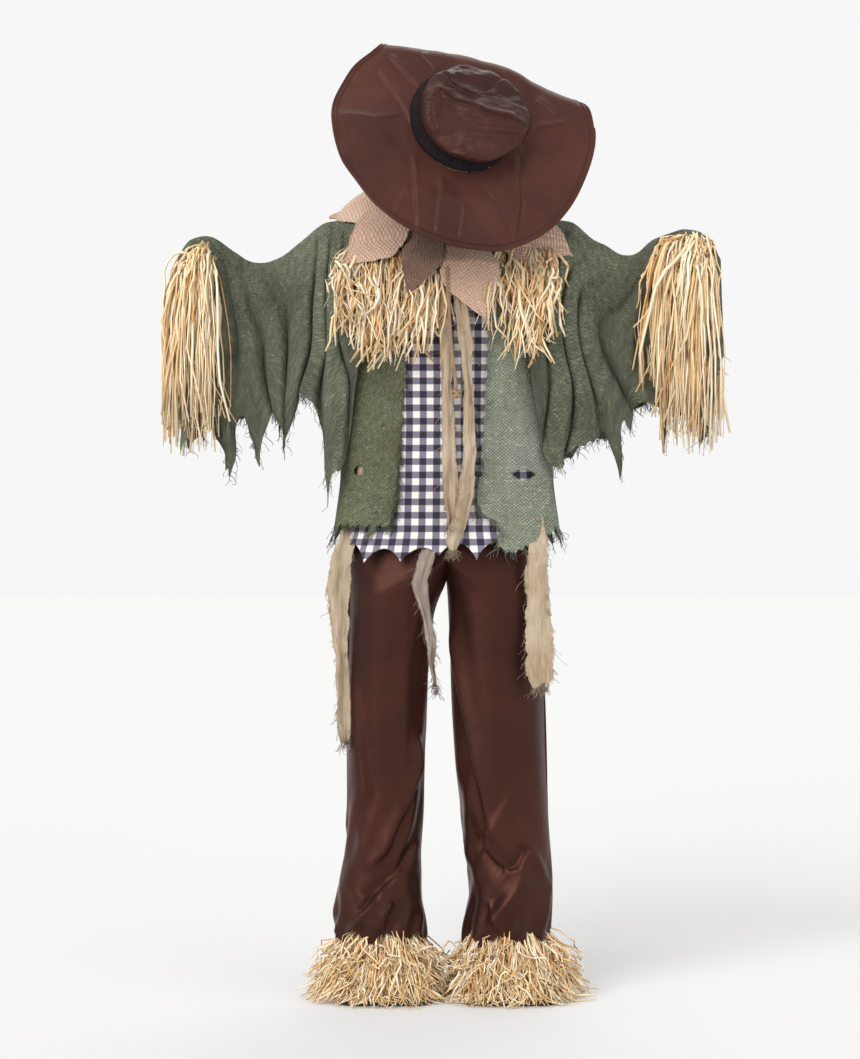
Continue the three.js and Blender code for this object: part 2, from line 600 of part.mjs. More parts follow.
/** A point on the torso at angle (0 is +X, -PI/2 the front) and height z, grown by out. */
function torsoPoint(angle, z, out) {
  const power = 0.8;
  const [c, s] = [Math.cos(angle), Math.sin(angle)];
  const x = (between(TORSO_RINGS, z, 1) + out) * Math.sign(c) * Math.abs(c) ** power;
  const y = (between(TORSO_RINGS, z, 2) + out) * Math.sign(s) * Math.abs(s) ** power;
  return new THREE.Vector3(x, y, z);
}

const armholes = () => box(600, ...ARMHOLE, 0, 0, SHOULDER_Z);

/** The height at v on a garment that follows the torso's rings, from its own hem up to a ring. */
function ringHeight(v, hem, rings) {
  const heights = [hem, ...TORSO_RINGS.slice(1, rings).map(([z]) => z)];
  const place = v * (heights.length - 1);
  const i = Math.min(Math.floor(place), heights.length - 2);
  return heights[i] + (place - i) * (heights[i + 1] - heights[i]);
}

/** How far a garment stands out below the torso's bottom edge, to clear the trousers. */
const skirtOut = (z) => 0.28 * Math.max(0, TORSO_RINGS[0][0] - z);

const torsoMid = (u, v) => torsoPoint(2 * Math.PI * u, ringHeight(v, TORSO_RINGS[0][0], 8), 0);
add("torso_shell", cut(sheet(torsoMid, TORSO_WALL, AROUND, 7, true), armholes()), MOULDED);

/** The shirt: a tube of cloth round the torso with a pointed hem. */
function shirtMid(u, v) {
  const hem = SHIRT.bottom - 26 * (zigzag((AROUND / 2) * u) - 0.5);
  const z = ringHeight(v, hem, SHIRT.rings);
  return torsoPoint(2 * Math.PI * u, z, SHIRT.out + skirtOut(z));
}

add("shirt", cut(sheet(shirtMid, SHIRT.t, AROUND, SHIRT.rings - 1, true), armholes()), GINGHAM);

/** The jacket: open at the front, flaring to its ragged hem. */
function jacketMid(u, v) {
  const sides = AROUND - 2 * JACKET.openSides;
  const angle = -Math.PI / 2 + (2 * Math.PI / AROUND) * (JACKET.openSides + u * sides);
  const hem = JACKET.bottom - 22 * zigzag((sides / 3) * u);
  const z = ringHeight(v, hem, JACKET.rings);
  const flare = 14 * (1 - v) ** 1.5;
  const p = torsoPoint(angle, z, JACKET.out + skirtOut(z) + 0.3 * flare);
  p.x += flare * Math.cos(angle);
  return p;
}

const jacketSides = AROUND - 2 * JACKET.openSides;
add("jacket_body", cut(sheet(jacketMid, JACKET.t, jacketSides, JACKET.rings - 1), armholes()), GAUZE);

// ---------- Trousers ----------

/** The outside or the inside of one leg as a solid from height z0 to z1, shrunk by inset. */
function legBlock(rows, s, inset, z0, z1, point) {
  const levels = 7;
  const sides = 16;
  const positions = [];
  const index = [];
  for (let j = 0; j <= levels; j++) {
    for (let i = 0; i < sides; i++) {
      const z = z0 + (j / levels) * (z1 - z0) + (j === 0 ? point * (i % 2) : 0);
      const angle = (2 * Math.PI * i) / sides;
      const x = between(rows, z, 1) + (between(rows, z, 2) - inset) * Math.cos(angle);
      positions.push(s * x, (between(rows, z, 3) - inset) * Math.sin(angle), z);
    }
  }
  const bottom = levels * sides + sides;
  positions.push(s * between(rows, z0, 1), 0, z0, s * between(rows, z1, 1), 0, z1);
  for (let i = 0; i < sides; i++) {
    const next = (i + 1) % sides;
    for (let j = 0; j < levels; j++) {
      const [a, b] = [j * sides + i, j * sides + next];
      index.push(a, b, b + sides, a, b + sides, a + sides);
    }
    index.push(bottom, next, i, bottom + 1, levels * sides + i, levels * sides + next);
  }
  const geometry = new THREE.BufferGeometry();
  geometry.setAttribute("position", new THREE.Float32BufferAttribute(positions, 3));
  geometry.setIndex(index);
  return facingOut(geometry);
}

/** Both legs and the seat as one garment, open at the waist and at the pointed hems. */
function trousers() {
  const leg = (inset, below, above, point) => SIDES.map(({ name, s }) => {
    const rows = TROUSER_LEGS[name];
    return legBlock(rows, s, inset, rows[0][0] - below, rows[rows.length - 1][0] + above, point);
  });
  return cut(joined(...leg(0, 0, 0, 16)), joined(...leg(TROUSER_WALL, 5, 5, 0)));
}

add("trousers", trousers(), SATIN);

// ---------- Straw at the feet and the neck ----------

/** A skirt of straw tied round the pole above the socket, spreading to the floor, more on its outer side. */
function footStraw(s) {
  const { top, neckR, beltR, beltZ, footR, outward, deep } = FOOT_STRAW;
  const z0 = PLATE.t + GAP;
  const skirt = turned([
    [42, z0], [footR, z0], [beltR, beltZ * 0.5], [beltR, beltZ], [78, 104], [54, 124], [neckR, top - 36],
    [neckR, top], [POLE.outer + 2, top], [POLE.outer + 2, SOCKET.top + 8], [42, SOCKET.top - 10], [42, z0],
  ], 20);
  const p = skirt.attributes.position;
  for (let i = 0; i < p.count; i++) {
    if (p.getX(i) * s > 2 * neckR) p.setX(i, p.getX(i) * outward);
    if (Math.abs(p.getY(i)) > 1.5 * neckR) p.setY(i, p.getY(i) * deep);
  }
  return skirt;
}

const ankleTie = () => new THREE.TorusGeometry(FOOT_STRAW.neckR + 3, 2.4, 5, 18).translate(0, 0, FOOT_STRAW.top - 14);
for (const { name, s } of SIDES) {
  add(`foot_straw_${name}`, footStraw(s), STRAW, [s * LEG_X, 0, 0]);
  add(`ankle_tie_${name}`, ankleTie(), JUTE, [s * LEG_X, 0, 0]);
}

/** A bundle of straw on one side of the chest, from under the collar down. */
function chestStraw(inner, outer, top, bottom) {
  const middle = (inner + outer) / 2;
  const outline = [
    [inner + 12, top], [inner, top - 40], [inner + 8, bottom + 40], [middle - 24, bottom],
    [middle + 24, bottom + 6], [outer - 8, bottom + 46], [outer, top - 40], [outer - 12, top],
  ];
  return slab(inner < 0 ? outline.reverse() : outline, 30, CHEST_STRAW_Y);
}

add("neck_straw_left", chestStraw(84, 204, 1374, 1232), STRAW);
add("neck_straw_right", chestStraw(-204, -20, 1374, 1218), STRAW);

// ---------- Collar, neck tie and rags ----------

/** The collar's mid-surface: u round the neck, v from the neck out and down to its points. */
function collarPoint(u, v) {
  const angle = 2 * Math.PI * u;
  const [c, s] = [Math.cos(angle), Math.sin(angle)];
  const point = zigzag(8 * u);
  const reachX = 46 + v * (120 + 44 * point);
  const reachY = 46 + v * (84 + 10 * point);
  const shoulder = 1497 - 26 * v;
  const front = Math.max(0, -s) ** 2;
  const back = Math.max(0, s) ** 2;
  const hang = (front * (74 + 62 * point) + back * (60 + 40 * point)) * v ** 1.5;
  const low = front * 14 * v;
  return new THREE.Vector3(reachX * c, reachY * s - low, shoulder - hang);
}

add("burlap_collar", sheet(collarPoint, 2.4, 32, 3, true), BURLAP);
const collarTie = new THREE.TorusGeometry(50, 3, 5, 18).translate(0, 0, 1503);
add("collar_tie", collarTie, JUTE);

/** The rope end that hangs down the chest from the collar tie, as a thin hanging tube. */
function ropePath() {
  return new THREE.CatmullRomCurve3([
    new THREE.Vector3(0, -136, 1386), new THREE.Vector3(1, -136, 1340), new THREE.Vector3(4, -133, 1290),
    new THREE.Vector3(8, -130, 1236), new THREE.Vector3(14, -128, 1184), new THREE.Vector3(18, -128, 1148),
  ]);
}

const ropeSection = new THREE.Shape().absarc(0, 0, 3.5, 0, 2 * Math.PI);
const rope = new THREE.ExtrudeGeometry(ropeSection, { steps: 8, extrudePath: ropePath(), curveSegments: 4 });
add("rope_tail", rope, JUTE);

/** A hanging strip of gauze in the X-Z plane, from top to bottom, with its middle line leaning. */
function rag(x0, x1, top, bottom, width, y, tips) {
  const rows = 10;
  const left = [];
  const right = [];
  for (let i = 0; i <= rows; i++) {
    const t = i / rows;
    const x = x0 + (x1 - x0) * t;
    const half = (width / 2) * (0.72 + 0.28 * Math.sin(Math.PI * t)) * (1 + 0.12 * zigzag(tips * t));
    left.push([x - half, top + (bottom - top) * t]);
    right.unshift([x + half, top + (bottom - top) * t]);
  }
  return slab([...left, ...right], 2.6, y);
}

add("front_rag_long", rag(26, 14, 1378, 862, 26, -118, 3), TAN_GAUZE);
add("front_rag_short", rag(-4, 6, 1378, 902, 24, -113, 4), TAN_GAUZE);
add("side_rag_right", rag(-208, -206, 844, 490, 40, -36, 4), TAN_GAUZE);
add("side_rag_left", rag(172, 176, 844, 602, 50, -88, 4), TAN_GAUZE);
add("centre_rag", rag(-44, -44, 844, 598, 40, -100, 3), TAN_GAUZE);

export default figure;
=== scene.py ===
"""Looks for the life-size scarecrow figure: cloth, straw, rope, hat and sack head over its steel frame.

The maths is in millimetres and Blender's meshes are in metres, in the CAD model's frame: the figure
faces -Y, +Z is up, and +X is the figure's own left.
"""

import json
import math

import bpy
import numpy as np
from mathutils import Matrix, Vector


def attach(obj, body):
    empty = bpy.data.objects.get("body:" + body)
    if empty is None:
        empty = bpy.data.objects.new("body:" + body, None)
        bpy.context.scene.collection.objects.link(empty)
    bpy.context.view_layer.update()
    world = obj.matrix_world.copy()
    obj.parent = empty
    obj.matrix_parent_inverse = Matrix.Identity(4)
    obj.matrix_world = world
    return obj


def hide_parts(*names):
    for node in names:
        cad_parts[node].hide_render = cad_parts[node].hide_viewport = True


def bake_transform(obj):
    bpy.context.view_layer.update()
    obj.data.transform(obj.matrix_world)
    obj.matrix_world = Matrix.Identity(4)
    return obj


MM = 0.001
TAU = 2 * math.pi
FRONT = -math.pi / 2  # the angle of the figure's front, from +X
CHECK_REPEAT = 0.0254  # metres from one gingham check to the next of its colour
SIDES = (("left", 1), ("right", -1))

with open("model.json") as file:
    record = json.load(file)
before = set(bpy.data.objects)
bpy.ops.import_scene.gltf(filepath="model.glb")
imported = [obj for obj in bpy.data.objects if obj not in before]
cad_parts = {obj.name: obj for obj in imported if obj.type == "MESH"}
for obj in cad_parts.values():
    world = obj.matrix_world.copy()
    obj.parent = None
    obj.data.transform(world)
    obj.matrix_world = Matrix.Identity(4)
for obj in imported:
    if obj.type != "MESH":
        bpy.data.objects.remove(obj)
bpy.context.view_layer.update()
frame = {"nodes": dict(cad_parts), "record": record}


# ---------- Numbers ----------


def field(seed):
    """A smooth random function of (x, y) with cells of size 1 and values from -1 to 1."""
    table = np.random.default_rng(seed).uniform(-1, 1, (67, 67))

    def at(x, y=0.0):
        x, y = np.broadcast_arrays(np.asarray(x, float), np.asarray(y, float))
        i, j = np.floor(x).astype(int), np.floor(y).astype(int)
        sx, sy = (smooth(t) for t in (x - i, y - j))
        corners = [table[(i + a) % 67, (j + b) % 67] for a, b in ((0, 0), (1, 0), (0, 1), (1, 1))]
        low = corners[0] + (corners[1] - corners[0]) * sx
        high = corners[2] + (corners[3] - corners[2]) * sx
        return low + (high - low) * sy

    return at


def xyz(*parts):
    """Arrays or numbers side by side, as the last axis of one array."""
    return np.stack(np.broadcast_arrays(*parts), -1)


def smooth(x, low=0.0, high=1.0):
    """0 up to low, 1 from high, and a soft step between them."""
    t = np.clip((x - low) / (high - low), 0, 1)
    return t * t * (3 - 2 * t)


def through(x, anchors, soften=0.0):
    """The value at x of the line through (x, value) anchors, with its corners rounded over soften."""
    xs, ys = zip(*anchors)
    return sum(np.interp(x + o * soften, xs, ys) for o in (-1, -0.5, 0, 0.5, 1)) / 5


def saw(x):
    """A repeating saw: 0 at whole numbers and 1 halfway between them."""
    return 1 - np.abs(2 * (x - np.floor(x)) - 1)


def bump(x, width):
    """A bell of height 1 at 0."""
    return np.exp(-((x / width) ** 2))


def crease(x, y, line, high, sharp=2.4, soft=13.0):
    """A fold in cloth along a line of (x, y) points: a step beside a low ridge, which fades at its ends."""
    line = np.array(line, float)
    steps = np.diff(line, axis=0)
    lengths = np.linalg.norm(steps, axis=1)
    starts = np.concatenate([[0], np.cumsum(lengths)]) / lengths.sum()
    nearest = np.full(x.shape, 1e9)
    off, along = np.zeros(x.shape), np.zeros(x.shape)
    for i, (step, length) in enumerate(zip(steps, lengths)):
        dx, dy = x - line[i, 0], y - line[i, 1]
        t = np.clip((dx * step[0] + dy * step[1]) / length**2, 0, 1)
        far = np.hypot(dx - t * step[0], dy - t * step[1])
        closer = far < nearest
        nearest = np.where(closer, far, nearest)
        off = np.where(closer, far * np.sign(step[0] * dy - step[1] * dx), off)
        along = np.where(closer, starts[i] + t * (starts[i + 1] - starts[i]), along)
    fade = smooth(along, 0, 0.18) * (1 - smooth(along, 0.8, 1))
    return high * fade * (np.tanh(off / sharp) * np.exp(-np.abs(off) / soft) + 0.5 * bump(off, 0.7 * soft))


# ---------- Materials ----------


def node(tree, kind, props=None, **sockets):
    """A new shader node. Sockets are named with _ for a space, and take a value or another socket."""
    made = tree.nodes.new("ShaderNode" + kind)
    for key, value in (props or {}).items():
        setattr(made, key, value)
    for key, value in sockets.items():
        put(made.inputs[key.replace("_", " ")], value)
    return made


def put(socket, value):
    if isinstance(value, bpy.types.NodeSocket):
        socket.id_data.links.new(value, socket)
    else:
        socket.default_value = value


def calc(operation, first, *others):
    """A Math node. Its first value is a socket, which says what tree it is in."""
    made = node(first.id_data, "Math", {"operation": operation})
    for socket, value in zip(made.inputs, (first, *others)):
        put(socket, value)
    return made.outputs[0]


def times(a, b, plus=None):
    return calc("MULTIPLY", a, b) if plus is None else calc("MULTIPLY_ADD", a, b, plus)


def clamped(value):
    """A Math node's output, kept between 0 and 1."""
    value.node.use_clamp = True
    return value


def rgb(r, g, b):
    """A colour given as 0 to 255 on a screen, in the linear values that shaders take."""
    linear = lambda c: c / 12.92 if c <= 0.04045 else ((c + 0.055) / 1.055) ** 2.4
    return (*(linear(c / 255) for c in (r, g, b)), 1.0)


def blank(name, coordinates="UV", **constants):
    """A new material, its shader with constants set on its sockets, and its texture coordinates."""
    made = bpy.data.materials.new(name)
    made.use_nodes = True
    shader = made.node_tree.nodes["Principled BSDF"]
    for key, value in constants.items():
        shader.inputs[key.replace("_", " ")].default_value = value
    return made, shader, node(made.node_tree, "TexCoord").outputs[coordinates]


def noise(where, scale, detail=3.0, rough=0.55):
    made = node(where.id_data, "TexNoise", Vector=where, Scale=scale, Detail=detail, Roughness=rough)
    return made.outputs["Fac"]


def stretch(where, x, y):
    return node(where.id_data, "Mapping", Vector=where, Scale=(x, y, 1.0)).outputs[0]


def multiplied(amount, a, b):
    """Colour a, multiplied by b by that amount."""
    made = node(a.id_data, "MixRGB", {"blend_type": "MULTIPLY"}, Fac=amount, Color1=a, Color2=b)
    return made.outputs[0]


def ramp(factor, *stops):
    """A colour ramp through stops of (factor, screen colour)."""
    made = node(factor.id_data, "ValToRGB", Fac=factor)
    line = made.color_ramp.elements
    while len(line) < len(stops):
        line.new(0.5)
    for element, (at, colour) in zip(line, stops):
        element.position, element.color = at, rgb(*colour)
    return made.outputs[0]


def raise_by(shader, height, distance, strength):
    """Bump from a height, where 1 is a distance in metres."""
    made = node(shader.id_data, "Bump", Height=height, Distance=distance, Strength=strength)
    put(shader.inputs["Normal"], made.outputs[0])


def threads(u, v, period):
    """The height of a plain weave, from 0 between its threads to 1 on them."""
    warp, weft = (calc("SINE", times(along, math.pi / period)) for along in (u, v))
    over = times(times(warp, weft), 0.5, 0.5)
    return times(calc("MAXIMUM", calc("ABSOLUTE", warp), calc("ABSOLUTE", weft)), over)


def woven(name, dark, mid, light, period, depth, blotch=6.0, streak=(120.0, 30.0), twill=0.0, crinkle=0.0,
          cover=1.0, thin=0.0, **constants):
    """Woven cloth, with sizes in mm.

    period is the width of two threads and depth their relief. blotch and streak are the scales of its
    stains. twill slants the weave, crinkle gives it wavy puckers of that width, cover is how opaque
    it is and thin how much more it lets through where it is worn.
    """
    made, shader, where = blank(name, **constants)
    tree = made.node_tree
    wobble = node(tree, "TexNoise", Vector=where, Scale=38.0, Detail=2.0).outputs["Color"]
    shift = node(tree, "VectorMath", {"operation": "MULTIPLY_ADD"})
    for socket, value in zip(shift.inputs, (wobble, (0.006,) * 3, where)):
        put(socket, value)
    u, v, _ = node(tree, "SeparateXYZ", Vector=shift.outputs[0]).outputs
    if twill:
        u, v = times(v, twill, u), times(u, -twill, v)
    height = threads(u, v, period * MM / 2)
    lines = noise(stretch(where, *streak), 1.0, 4.0, 0.65)
    tone = times(noise(where, blotch, 4.0, 0.6), 0.55, times(lines, 0.5))
    relief = times(lines, 0.5, height)
    # Painted shade: the cloth's colour is made darker between its threads.
    shade = times(height, 0.5, 0.5)
    if crinkle:
        scale = 1 / (crinkle * MM)
        puckers = node(tree, "TexNoise", Vector=stretch(shift.outputs[0], scale * 0.55, scale), Scale=1.0,
                       Detail=4.0, Roughness=0.7, Distortion=0.5).outputs["Fac"]
        ripple = clamped(times(calc("ABSOLUTE", calc("SUBTRACT", puckers, 0.5)), 7.0))
        relief = times(ripple, 1.6, relief)
        # More painted shade: the colour is darker in the creases of the puckers.
        shade = times(shade, times(ripple, 0.5, 0.55))
    colour = ramp(tone, (0.36, dark), (0.53, mid), (0.70, light))
    put(shader.inputs["Base Color"], multiplied(0.9, colour, shade))
    raise_by(shader, relief, depth * MM, 0.9)
    if cover < 1:
        worn = noise(stretch(where, 26.0, 11.0), 1.0, 3.0, 0.6)
        gap = times(worn, -2.2 * thin, cover + 0.85 * thin)
        put(shader.inputs["Alpha"], clamped(times(height, 0.35, gap)))
    return made


def gingham():
    """Half-inch checks in off-white and navy, woven so that single crossings are a mid grey."""
    made, shader, where = blank("gingham", Roughness=0.85, Sheen_Weight=0.15)
    u, v, _ = node(made.node_tree, "SeparateXYZ", Vector=where).outputs
    bands = []
    for along in (u, v):
        wave = calc("SINE", times(along, TAU / CHECK_REPEAT))
        edge = times(noise(stretch(where, 900.0, 900.0), 1.0), 0.5, -0.25)
        bands.append(clamped(times(calc("ADD", wave, edge), 3.5, 0.5)))
    count = times(calc("ADD", *bands), 0.5)
    checks = ramp(count, (0.0, (252, 248, 242)), (0.5, (132, 124, 142)), (1.0, (40, 38, 56)))
    soil = ramp(noise(where, 9.0, 4.0), (0.3, (225, 218, 212)), (0.6, (255, 255, 255)))
    put(shader.inputs["Base Color"], multiplied(0.5, checks, soil))
    creases = noise(stretch(where, 60.0, 18.0), 1.0, 3.0)
    raise_by(shader, times(creases, 4.0, threads(u, v, 0.0007)), 0.0006, 0.7)
    return made


def satin(name, dark, mid, light, **constants):
    """A heavy satin: a soft sheen, faint stains and the finest of crosswise slubs."""
    made, shader, where = blank(name, **constants)
    stain = noise(where, 5.0, 3.0)
    slub = noise(stretch(where, 60.0, 900.0), 1.0, 2.0)
    tone = times(slub, 0.25, times(stain, 0.75))
    put(shader.inputs["Base Color"], ramp(tone, (0.33, dark), (0.5, mid), (0.68, light)))
    put(shader.inputs["Roughness"], times(stain, 0.2, 0.3))
    wrinkles = noise(stretch(where, 26.0, 12.0), 1.0, 4.0, 0.5)
    raise_by(shader, times(wrinkles, 9.0, slub), 0.0005, 0.6)
    return made


def straw_material():
    """Raffia: each ribbon has its own shade from cream to tan, with grain along its length."""
    made, shader, where = blank("straw", Roughness=0.55, Sheen_Weight=0.1)
    own = node(made.node_tree, "NewGeometry").outputs["Random Per Island"]
    grain = noise(stretch(where, 40.0, 60.0), 1.0, 4.0, 0.7)
    colour = ramp(times(own, 0.72, times(grain, 0.36)), (0.14, (190, 132, 70)), (0.30, (238, 194, 132)),
                  (0.54, (255, 228, 182)), (0.9, (255, 244, 220)))
    put(shader.inputs["Base Color"], colour)
    raise_by(shader, grain, 0.0012, 0.6)
    return made


def hard(name, dark, light, scale, rough, spread, **constants):
    """Metal or plastic: a fine mottle in its colour and its roughness, and an orange-peel bump."""
    made, shader, where = blank(name, "Object", **constants)
    mottle = noise(where, scale, 4.0)
    put(shader.inputs["Base Color"], ramp(mottle, (0.35, dark), (0.65, light)))
    put(shader.inputs["Roughness"], times(mottle, spread, rough))
    raise_by(shader, noise(where, scale * 12, 2.0), 0.0002, 0.5)
    return made


SATIN_LOOK = dict(Sheen_Weight=0.12, Sheen_Roughness=0.35, Sheen_Tint=rgb(230, 120, 90),
                  Specular_IOR_Level=0.46, Specular_Tint=rgb(255, 175, 155))
HAT_LOOK = dict(Sheen_Weight=0.1, Sheen_Roughness=0.4, Sheen_Tint=rgb(210, 140, 120),
                Specular_IOR_Level=0.22, Specular_Tint=rgb(255, 215, 200))
GAUZE = dict(period=6.4, depth=2.4, blotch=5.5, streak=(150.0, 90.0), crinkle=5.0, Roughness=0.95,
             Sheen_Weight=0.1, Specular_IOR_Level=0.2)
RAG_LOOK = dict(period=4.4, depth=1.4, blotch=9.0, streak=(420.0, 30.0), Roughness=0.95, Sheen_Weight=0.2)
BURLAP_LOOK = dict(period=8.4, depth=2.0, blotch=10.0, streak=(200.0, 200.0), twill=0.45, Roughness=0.95,
                   Sheen_Weight=0.15)
SATIN_TROUSERS = satin("brown_satin", (28, 16, 14), (41, 22, 19), (58, 30, 25), **SATIN_LOOK)
SATIN_HAT = satin("hat_satin", (52, 31, 30), (70, 41, 35), (84, 50, 42), **HAT_LOOK)
# The crown's satin is the hat's satin in darker colours, as painted shade.
SATIN_CROWN_SHADED = satin("hat_satin_shaded", (42, 25, 25), (58, 34, 31), (72, 43, 38), **HAT_LOOK)
RIBBON = woven("ribbon", (30, 22, 25), (38, 28, 31), (46, 36, 38), 3.0, 0.3, Roughness=0.85,
               Specular_IOR_Level=0.15)
GAUZE_SLEEVE = woven("green_gauze", (98, 106, 84), (146, 152, 124), (196, 200, 168), **GAUZE)
GAUZE_DENSE = woven("green_gauze_dense", (112, 116, 76), (160, 166, 124), (202, 208, 170), cover=0.8,
                    **GAUZE)
GAUZE_THIN = woven("green_gauze_thin", (210, 226, 184), (240, 250, 220), (254, 255, 244), cover=0.62,
                   thin=0.40, **GAUZE)
TAN = woven("tan_gauze", (180, 150, 118), (218, 194, 162), (242, 226, 200), **RAG_LOOK)
GREY = woven("grey_gauze", (134, 116, 102), (178, 160, 146), (216, 204, 190), **RAG_LOOK)
BURLAP = woven("burlap", (206, 164, 138), (236, 196, 170), (252, 224, 202), **BURLAP_LOOK)
BURLAP_DARK = woven("burlap_dark", (112, 84, 70), (144, 112, 94), (176, 142, 120), **BURLAP_LOOK)
JUTE = woven("jute", (150, 116, 86), (188, 154, 122), (214, 184, 152), 1.6, 0.6, 20.0, (500.0, 200.0),
             Roughness=0.95, Sheen_Weight=0.2)
GINGHAM = gingham()
STRAW = straw_material()
SLOT_MATERIALS = {
    "steel": hard("black_steel", (34, 36, 38), (48, 50, 52), 60.0, 0.34, 0.2, Metallic=0.35),
    "zinc": hard("zinc", (150, 154, 156), (186, 190, 192), 90.0, 0.24, 0.25, Metallic=0.95),
    "black_plastic": hard("black_plastic", (22, 22, 24), (32, 32, 34), 120.0, 0.5, 0.2),
    "moulded": hard("moulded_shell", (168, 150, 124), (192, 174, 146), 25.0, 0.55, 0.2),
}


# ---------- Meshes ----------


def piece(name, points, faces, material, uv=None, thickness=0.0):
    """A smooth-shaded object from points in mm, faces, and a UV (metres) for each corner of each face."""
    mesh = bpy.data.meshes.new(name)
    mesh.from_pydata((np.asarray(points) * MM).tolist(), [], faces)
    if uv is not None:
        mesh.uv_layers.new(name="UV").data.foreach_set("uv", np.asarray(uv, np.float32).ravel())
    mesh.materials.append(material)
    mesh.shade_smooth()
    obj = bpy.data.objects.new(name, mesh)
    bpy.context.collection.objects.link(obj)
    if thickness:
        solid = obj.modifiers.new("Thickness", "SOLIDIFY")
        solid.thickness, solid.offset = thickness * MM, 0
    return obj


def cloth(name, grid, uv, material, thickness=1.0, closed=False, keep=None):
    """A sheet from a grid of points (nu, nv, 3) and its place on the flat cloth in mm (nu, nv, 2).

    closed joins the last column to the first. keep says which cells of the grid are there.
    """
    nu, nv = grid.shape[:2]
    index = np.arange(nu * nv).reshape(nu, nv)
    if closed:
        index[-1] = index[0]
    around = lambda a: np.stack([a[:-1, :-1], a[1:, :-1], a[1:, 1:], a[:-1, 1:]], axis=2)
    here = np.ones((nu - 1, nv - 1), bool) if keep is None else keep
    quads, corners = around(index)[here], around(uv * MM)[here]
    used, faces = np.unique(quads, return_inverse=True)
    points = grid.reshape(-1, 3)[used]
    return piece(name, points, faces.reshape(-1, 4).tolist(), material, corners, thickness)


def lattice(nu, nv):
    """Two (nu, nv) grids of u and v, from 0 to 1."""
    return np.meshgrid(np.linspace(0, 1, nu), np.linspace(0, 1, nv), indexing="ij")


def ribbons(name, paths, widths, material, seed, flat=0.28, taper=0.35):
    """Closed flat straws, one along each path of (n, k, 3) points, that twist along their length."""
    rng = np.random.default_rng(seed)
    n, k, _ = paths.shape
    unit = lambda a: a / np.maximum(np.linalg.norm(a, axis=-1, keepdims=True), 1e-9)
    ahead = unit(np.gradient(paths, axis=1))
    side = unit(np.cross(ahead, unit(rng.normal(size=(n, 1, 3)))))
    up = np.cross(ahead, side)
    t = np.linspace(0, 1, k)
    angle = (rng.uniform(0, TAU, (n, 1)) + rng.normal(0, 1.6, (n, 1)) * t)[..., None]
    wide = np.cos(angle) * side + np.sin(angle) * up
    thin = np.cos(angle) * up - np.sin(angle) * side
    swell = taper + (1 - taper) * np.sin(np.pi * np.clip(t, 0.04, 0.96)) ** 0.5
    half = (widths[:, None] / 2 * swell)[..., None]
    rings = np.stack([paths + wide * half, paths - wide * half, paths + thin * half * 2 * flat], axis=2)
    index = np.arange(n * k * 3).reshape(n, k, 3)
    beside = np.roll(index, -1, axis=2)
    quads = xyz(index[:, :-1], beside[:, :-1], beside[:, 1:], index[:, 1:]).reshape(-1, 4)
    ends = np.concatenate([index[:, 0, ::-1], index[:, -1]])
    steps = np.linalg.norm(np.diff(paths, axis=1, prepend=paths[:, :1]), axis=-1)
    length = np.cumsum(steps, axis=1) * MM
    aside = np.arange(3) * 0.004 + np.arange(n)[:, None, None] * 0.013
    where = xyz(aside, length[..., None]).reshape(-1, 2)[np.concatenate([quads.ravel(), ends.ravel()])]
    return piece(name, rings.reshape(-1, 3), quads.tolist() + ends.tolist(), material, where)


def bend(p0, p1, p2, p3, rng, k=9, kink=4.0, curl=7.0):
    """n paths of k points along the curves with those control points (n, 3), with waves and kinks."""
    t = np.linspace(0, 1, k)[None, :, None]
    p0, p1, p2, p3 = (np.asarray(p)[:, None, :] for p in (p0, p1, p2, p3))
    curve = (1 - t) ** 3 * p0 + 3 * (1 - t) ** 2 * t * p1 + 3 * (1 - t) * t**2 * p2 + t**3 * p3
    n = len(curve)
    wave = rng.normal(0, curl, (n, 1, 3))
    wave = wave * np.sin(rng.uniform(2, 7, (n, 1, 1)) * t + rng.uniform(0, TAU, (n, 1, 1)))
    return curve + (rng.normal(0, kink, curve.shape) + wave) * np.minimum(3 * t, 1)


def tube(name, path, radius, material, sides=10, closed=False):
    """A round cord along path (k, 3), with its ends rounded off unless it is closed."""
    path = np.asarray(path, float)
    if closed:
        path = np.concatenate([path, path[:1]])
    ahead = np.gradient(path, axis=0)
    if closed:
        ahead[0] = ahead[-1] = path[1] - path[-2]
    ahead /= np.linalg.norm(ahead, axis=1, keepdims=True)
    side = np.cross(ahead, (0.31, 0.17, 0.93))
    side /= np.linalg.norm(side, axis=1, keepdims=True)
    up = np.cross(ahead, side)
    turn = np.linspace(0, TAU, sides + 1)[:, None, None]
    along = np.cumsum(np.linalg.norm(np.diff(path, axis=0, prepend=path[:1]), axis=1))
    reach = radius * np.ones(len(path))
    if not closed:
        reach[[0, -1]] *= 0.55
    grid = path + (np.cos(turn) * side + np.sin(turn) * up) * reach[:, None]
    made = cloth(name, grid, xyz(turn[..., 0] * radius, along), material, 0, closed=True)
    if closed:
        return made
    n = len(path)
    caps = [[i * n for i in range(sides)], [i * n + n - 1 for i in range(sides)][::-1]]
    faces = [list(polygon.vertices) for polygon in made.data.polygons] + caps
    corners = [tuple(corner.uv) for corner in made.data.uv_layers[0].data] + [(0.0, 0.0)] * (2 * sides)
    points = [tuple(vertex.co / MM) for vertex in made.data.vertices]
    bpy.data.objects.remove(made)
    return piece(name, points, faces, material, corners)


def merge(name, pieces):
    """Several objects as one."""
    for other in bpy.context.selected_objects:
        other.select_set(False)
    for each in pieces:
        each.select_set(True)
    bpy.context.view_layer.objects.active = pieces[0]
    bpy.ops.object.join()
    pieces[0].name = name
    return pieces[0]


def place(obj, body, slot, *nodes):
    """obj rides on body and stands for those CAD nodes. slot is not used."""
    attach(obj, body)
    if nodes:
        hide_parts(*nodes)
    return obj


